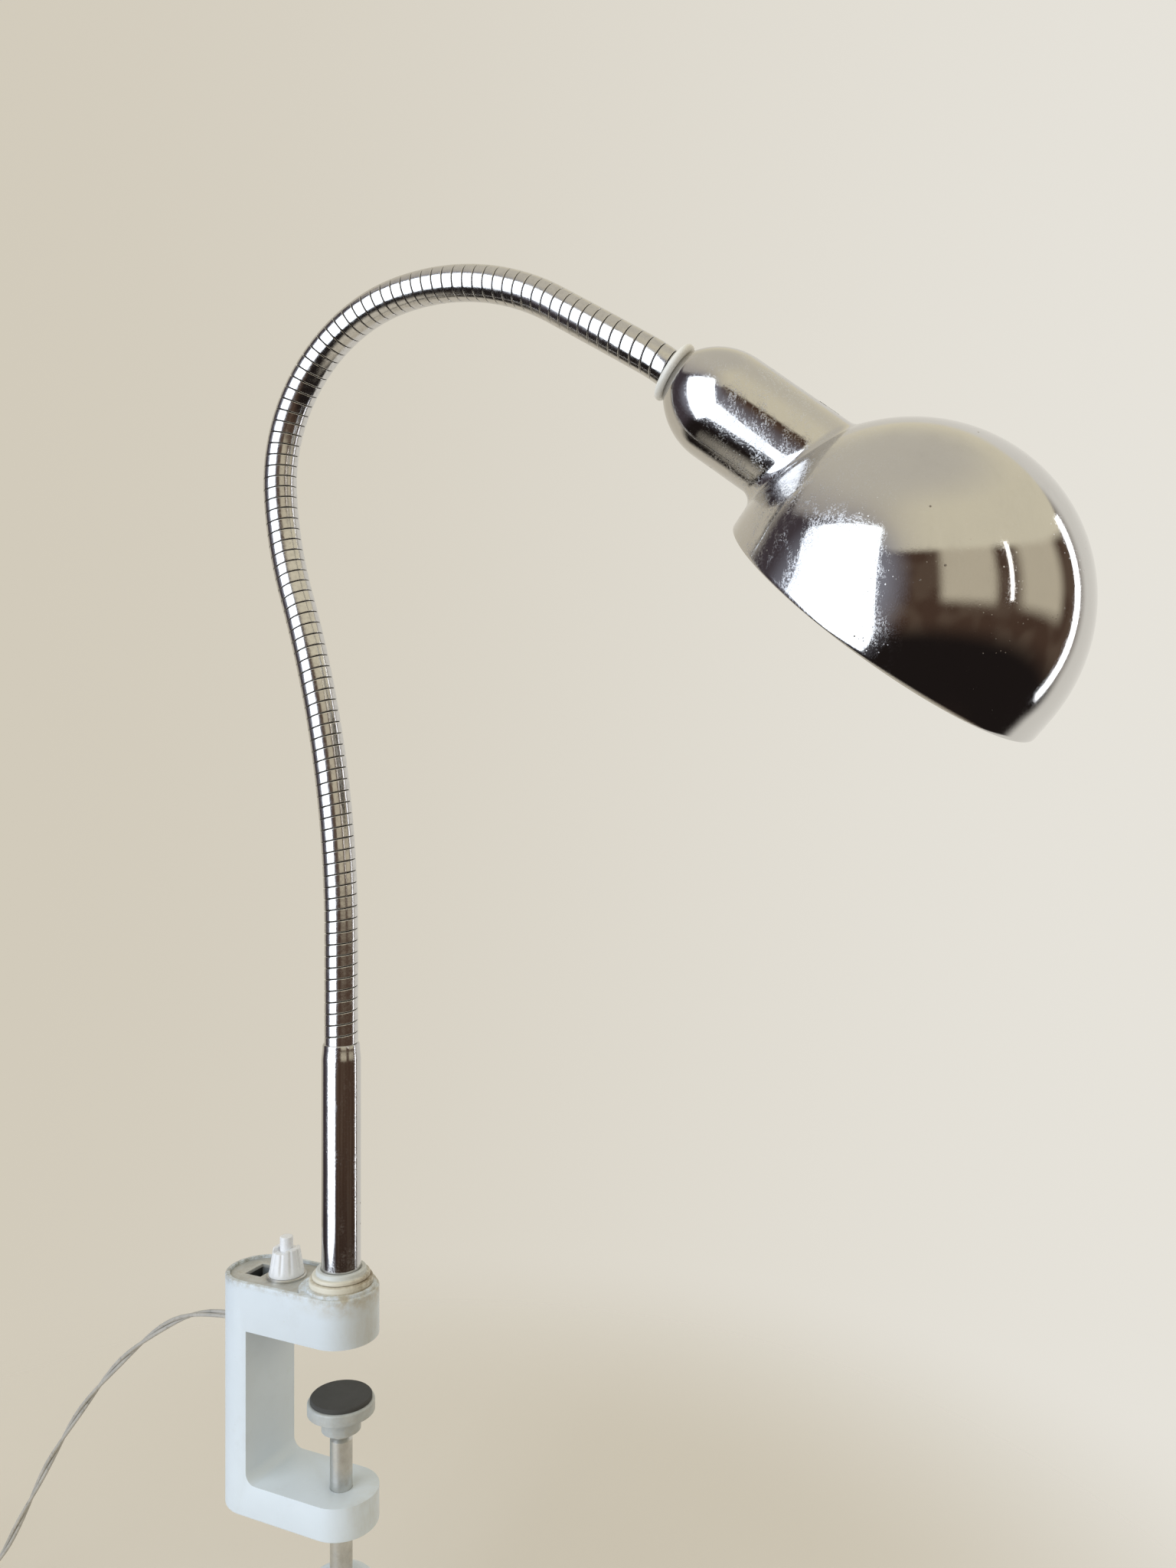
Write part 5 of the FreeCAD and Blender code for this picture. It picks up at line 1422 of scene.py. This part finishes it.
@dataclass
class Studio:
    """A plain pale floor and backdrop under soft light, dim on the viewer's side.

    Attributes:
        floor_level: Height of the floor, in millimetres.
        floor_solid: Radius of the whole floor, in metres.
        floor_gone: Radius at which the floor has thinned out, in metres.
        paper: Colour of the floor.
        backdrop: Colour behind the lamp, left and right.
        ceiling: Colour of the light from above, left and right.
        zenith: Colour straight overhead.
        wall: Colour of the lit wall at the viewer's right.
        room: Colour of the dim side, where the viewer stands.
        clutter: Colour of its lighter patches.
        beside: Colour of the dim wall at the viewer's left.
        glow: Colour of the haze round the window.
        below: Colour of the dim side below the lamp's head.
        view_turn: How far the viewer's side is turned from -Y, in degrees.
        aim: Where the lights point, near the shade, in metres.
    """

    floor_level: float = -150.0
    floor_solid: float = 0.21
    floor_gone: float = 0.46
    paper: Colour = (0.80, 0.76, 0.69)
    backdrop: tuple[Colour, Colour] = ((0.64, 0.59, 0.49), (0.80, 0.775, 0.715))
    ceiling: tuple[Colour, Colour] = ((0.46, 0.43, 0.40), (0.82, 0.755, 0.58))
    zenith: Colour = (0.66, 0.62, 0.53)
    wall: Colour = (0.64, 0.57, 0.43)
    room: Colour = (0.085, 0.050, 0.034)
    clutter: Colour = (0.125, 0.085, 0.060)
    beside: Colour = (0.070, 0.056, 0.064)
    glow: Colour = (0.33, 0.34, 0.40)
    below: Colour = (0.016, 0.012, 0.011)
    view_turn: float = 25.0
    aim: Point = (0.19, 0.03, 0.25)

    def floor(self) -> None:
        """The floor, a disc below the lamp."""
        Bench.clear()
        bpy.ops.mesh.primitive_circle_add(
            vertices=192, radius=self.floor_gone, fill_type="NGON",
            location=(0, 0, self.floor_level * MM))
        floor = bpy.context.object
        floor.name = "studio_floor"
        bpy.ops.object.transform_apply(location=True, rotation=True, scale=True)
        floor.data.materials.append(
            StudioPaint("floor_paper", self.paper, self.floor_solid, self.floor_gone).make())

    def world(self) -> None:
        """Light from all round, painted by direction."""
        world = bpy.data.worlds.new("studio")
        bpy.context.scene.world = world
        world.use_nodes = True
        n = Nodes(world.node_tree)
        new = n.tree.nodes.new
        output, shader = new("ShaderNodeOutputWorld"), new("ShaderNodeBackground")
        place, turn = new("ShaderNodeTexCoord"), new("ShaderNodeVectorRotate")
        turn.rotation_type = "Z_AXIS"
        turn.inputs["Angle"].default_value = math.radians(-self.view_turn)
        split = new("ShaderNodeSeparateXYZ")
        n.link(place.outputs["Generated"], turn.inputs["Vector"])
        n.link(turn.outputs["Vector"], split.inputs["Vector"])
        across, ahead, up = (split.outputs[axis] for axis in "XYZ")
        compass = n.math("MULTIPLY", n.math("ARCTAN2", across, n.math("MULTIPLY", ahead, -1.0)),
                         180.0 / math.pi)
        left = n.math("MULTIPLY", n.rise(compass, -14.0, -60.0), n.rise(compass, -160.0, -140.0))

        # The room, level with the lamp.
        cloud = new("ShaderNodeTexNoise")
        cloud.inputs["Scale"].default_value = 3.2
        cloud.inputs["Detail"].default_value = 1.0
        n.link(turn.outputs["Vector"], cloud.inputs["Vector"])
        room = n.mix(n.rise(cloud.outputs["Fac"], 0.42, 0.62), self.room, self.clutter)
        colour = n.mix(n.rise(across, -0.55, 0.55), *self.backdrop)
        colour = n.mix(n.band(compass, -118.0, 112.0, 8.0), colour,
                       n.mix(left, room, self.beside))
        walls = n.math("ADD", n.band(compass, 9.0, 42.0, 4.0), n.band(compass, 58.0, 90.0, 6.0))
        colour = n.mix(n.math("MULTIPLY", walls, n.rise(up, -0.16, 0.0)), colour, self.wall)

        # Below it, and the ceiling, which starts higher behind the lamp and at the left.
        down = n.math("MULTIPLY", n.band(compass, -141.0, 116.0, 7.0),
                      n.band(up, -0.90, -0.36, 0.12))
        colour = n.mix(down, colour, self.below)
        above = n.mix(n.rise(across, -0.70, 0.15), *self.ceiling)
        above = n.mix(n.rise(up, 0.72, 0.98), above, self.zenith)
        higher = n.math("ADD", n.math("MULTIPLY", left, 0.30),
                        n.math("MULTIPLY", n.rise(ahead, 0.15, 0.5), 0.30))
        colour = n.mix(n.rise(n.math("SUBTRACT", up, higher), 0.37, 0.45), colour, above)

        # The haze round the window.
        toward = new("ShaderNodeVectorMath")
        toward.operation = "DOT_PRODUCT"
        n.link(turn.outputs["Vector"], toward.inputs[0])
        toward.inputs[1].default_value = (-0.780, -0.610, 0.139)
        colour = n.mix(n.rise(toward.outputs["Value"], 0.68, 0.96), colour, self.glow)
        n.link(colour, shader.inputs["Color"])
        n.link(shader.outputs["Background"], output.inputs["Surface"])

    def lamp(self, name: str, turn: float, rise: float, away: float,
             size: tuple[float, float], radiance: float, colour: Colour = (1, 1, 1)) -> None:
        """A soft rectangular light that faces the shade.

        Args:
            name: The light's name.
            turn: Where it stands, in degrees to the right of the viewer's direction.
            rise: Its height over the shade, in degrees.
            away: Its distance from the shade, in metres.
            size: Its width and height, in metres.
            radiance: How bright its face is; 1 is white.
            colour: Its colour.
        """
        target = Vector(self.aim)
        compass = math.radians(self.view_turn + turn)
        level = math.cos(math.radians(rise))
        way = Vector((math.sin(compass) * level, -math.cos(compass) * level,
                      math.sin(math.radians(rise))))
        data = bpy.data.lights.new(name, "AREA")
        data.shape = "RECTANGLE"
        data.size, data.size_y = size
        data.energy = radiance * math.pi * size[0] * size[1]
        data.color = colour
        light = bpy.data.objects.new(name, data)
        light.location = target + way * away
        light.rotation_euler = (-way).to_track_quat("-Z", "Y").to_euler()
        bpy.context.scene.collection.objects.link(light)

    def build(self) -> None:
        """Set up the floor, the world and the lights."""
        self.floor()
        self.world()
        self.lamp("window", -52.0, 8.0, 1.8, (1.64, 2.42), 2.4, (0.86, 0.93, 1.0))
        self.lamp("doorway", 51.0, 12.0, 2.0, (0.09, 1.0), 2.4, (1.0, 0.97, 0.92))
        self.lamp("side", 105.0, 0.0, 1.7, (0.20, 1.9), 2.4, (0.93, 0.96, 1.0))
        bpy.context.scene.view_settings.view_transform = "Standard"


def main() -> None:
    """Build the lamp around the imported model."""
    logging.basicConfig(level=logging.INFO, format="%(message)s")
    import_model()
    Camera().build()
    TwistedCord().build()
    Clamp().build()
    Column().build()
    Hose().build()
    Head().build()
    Studio().build()


if __name__ == "__main__":
    main()
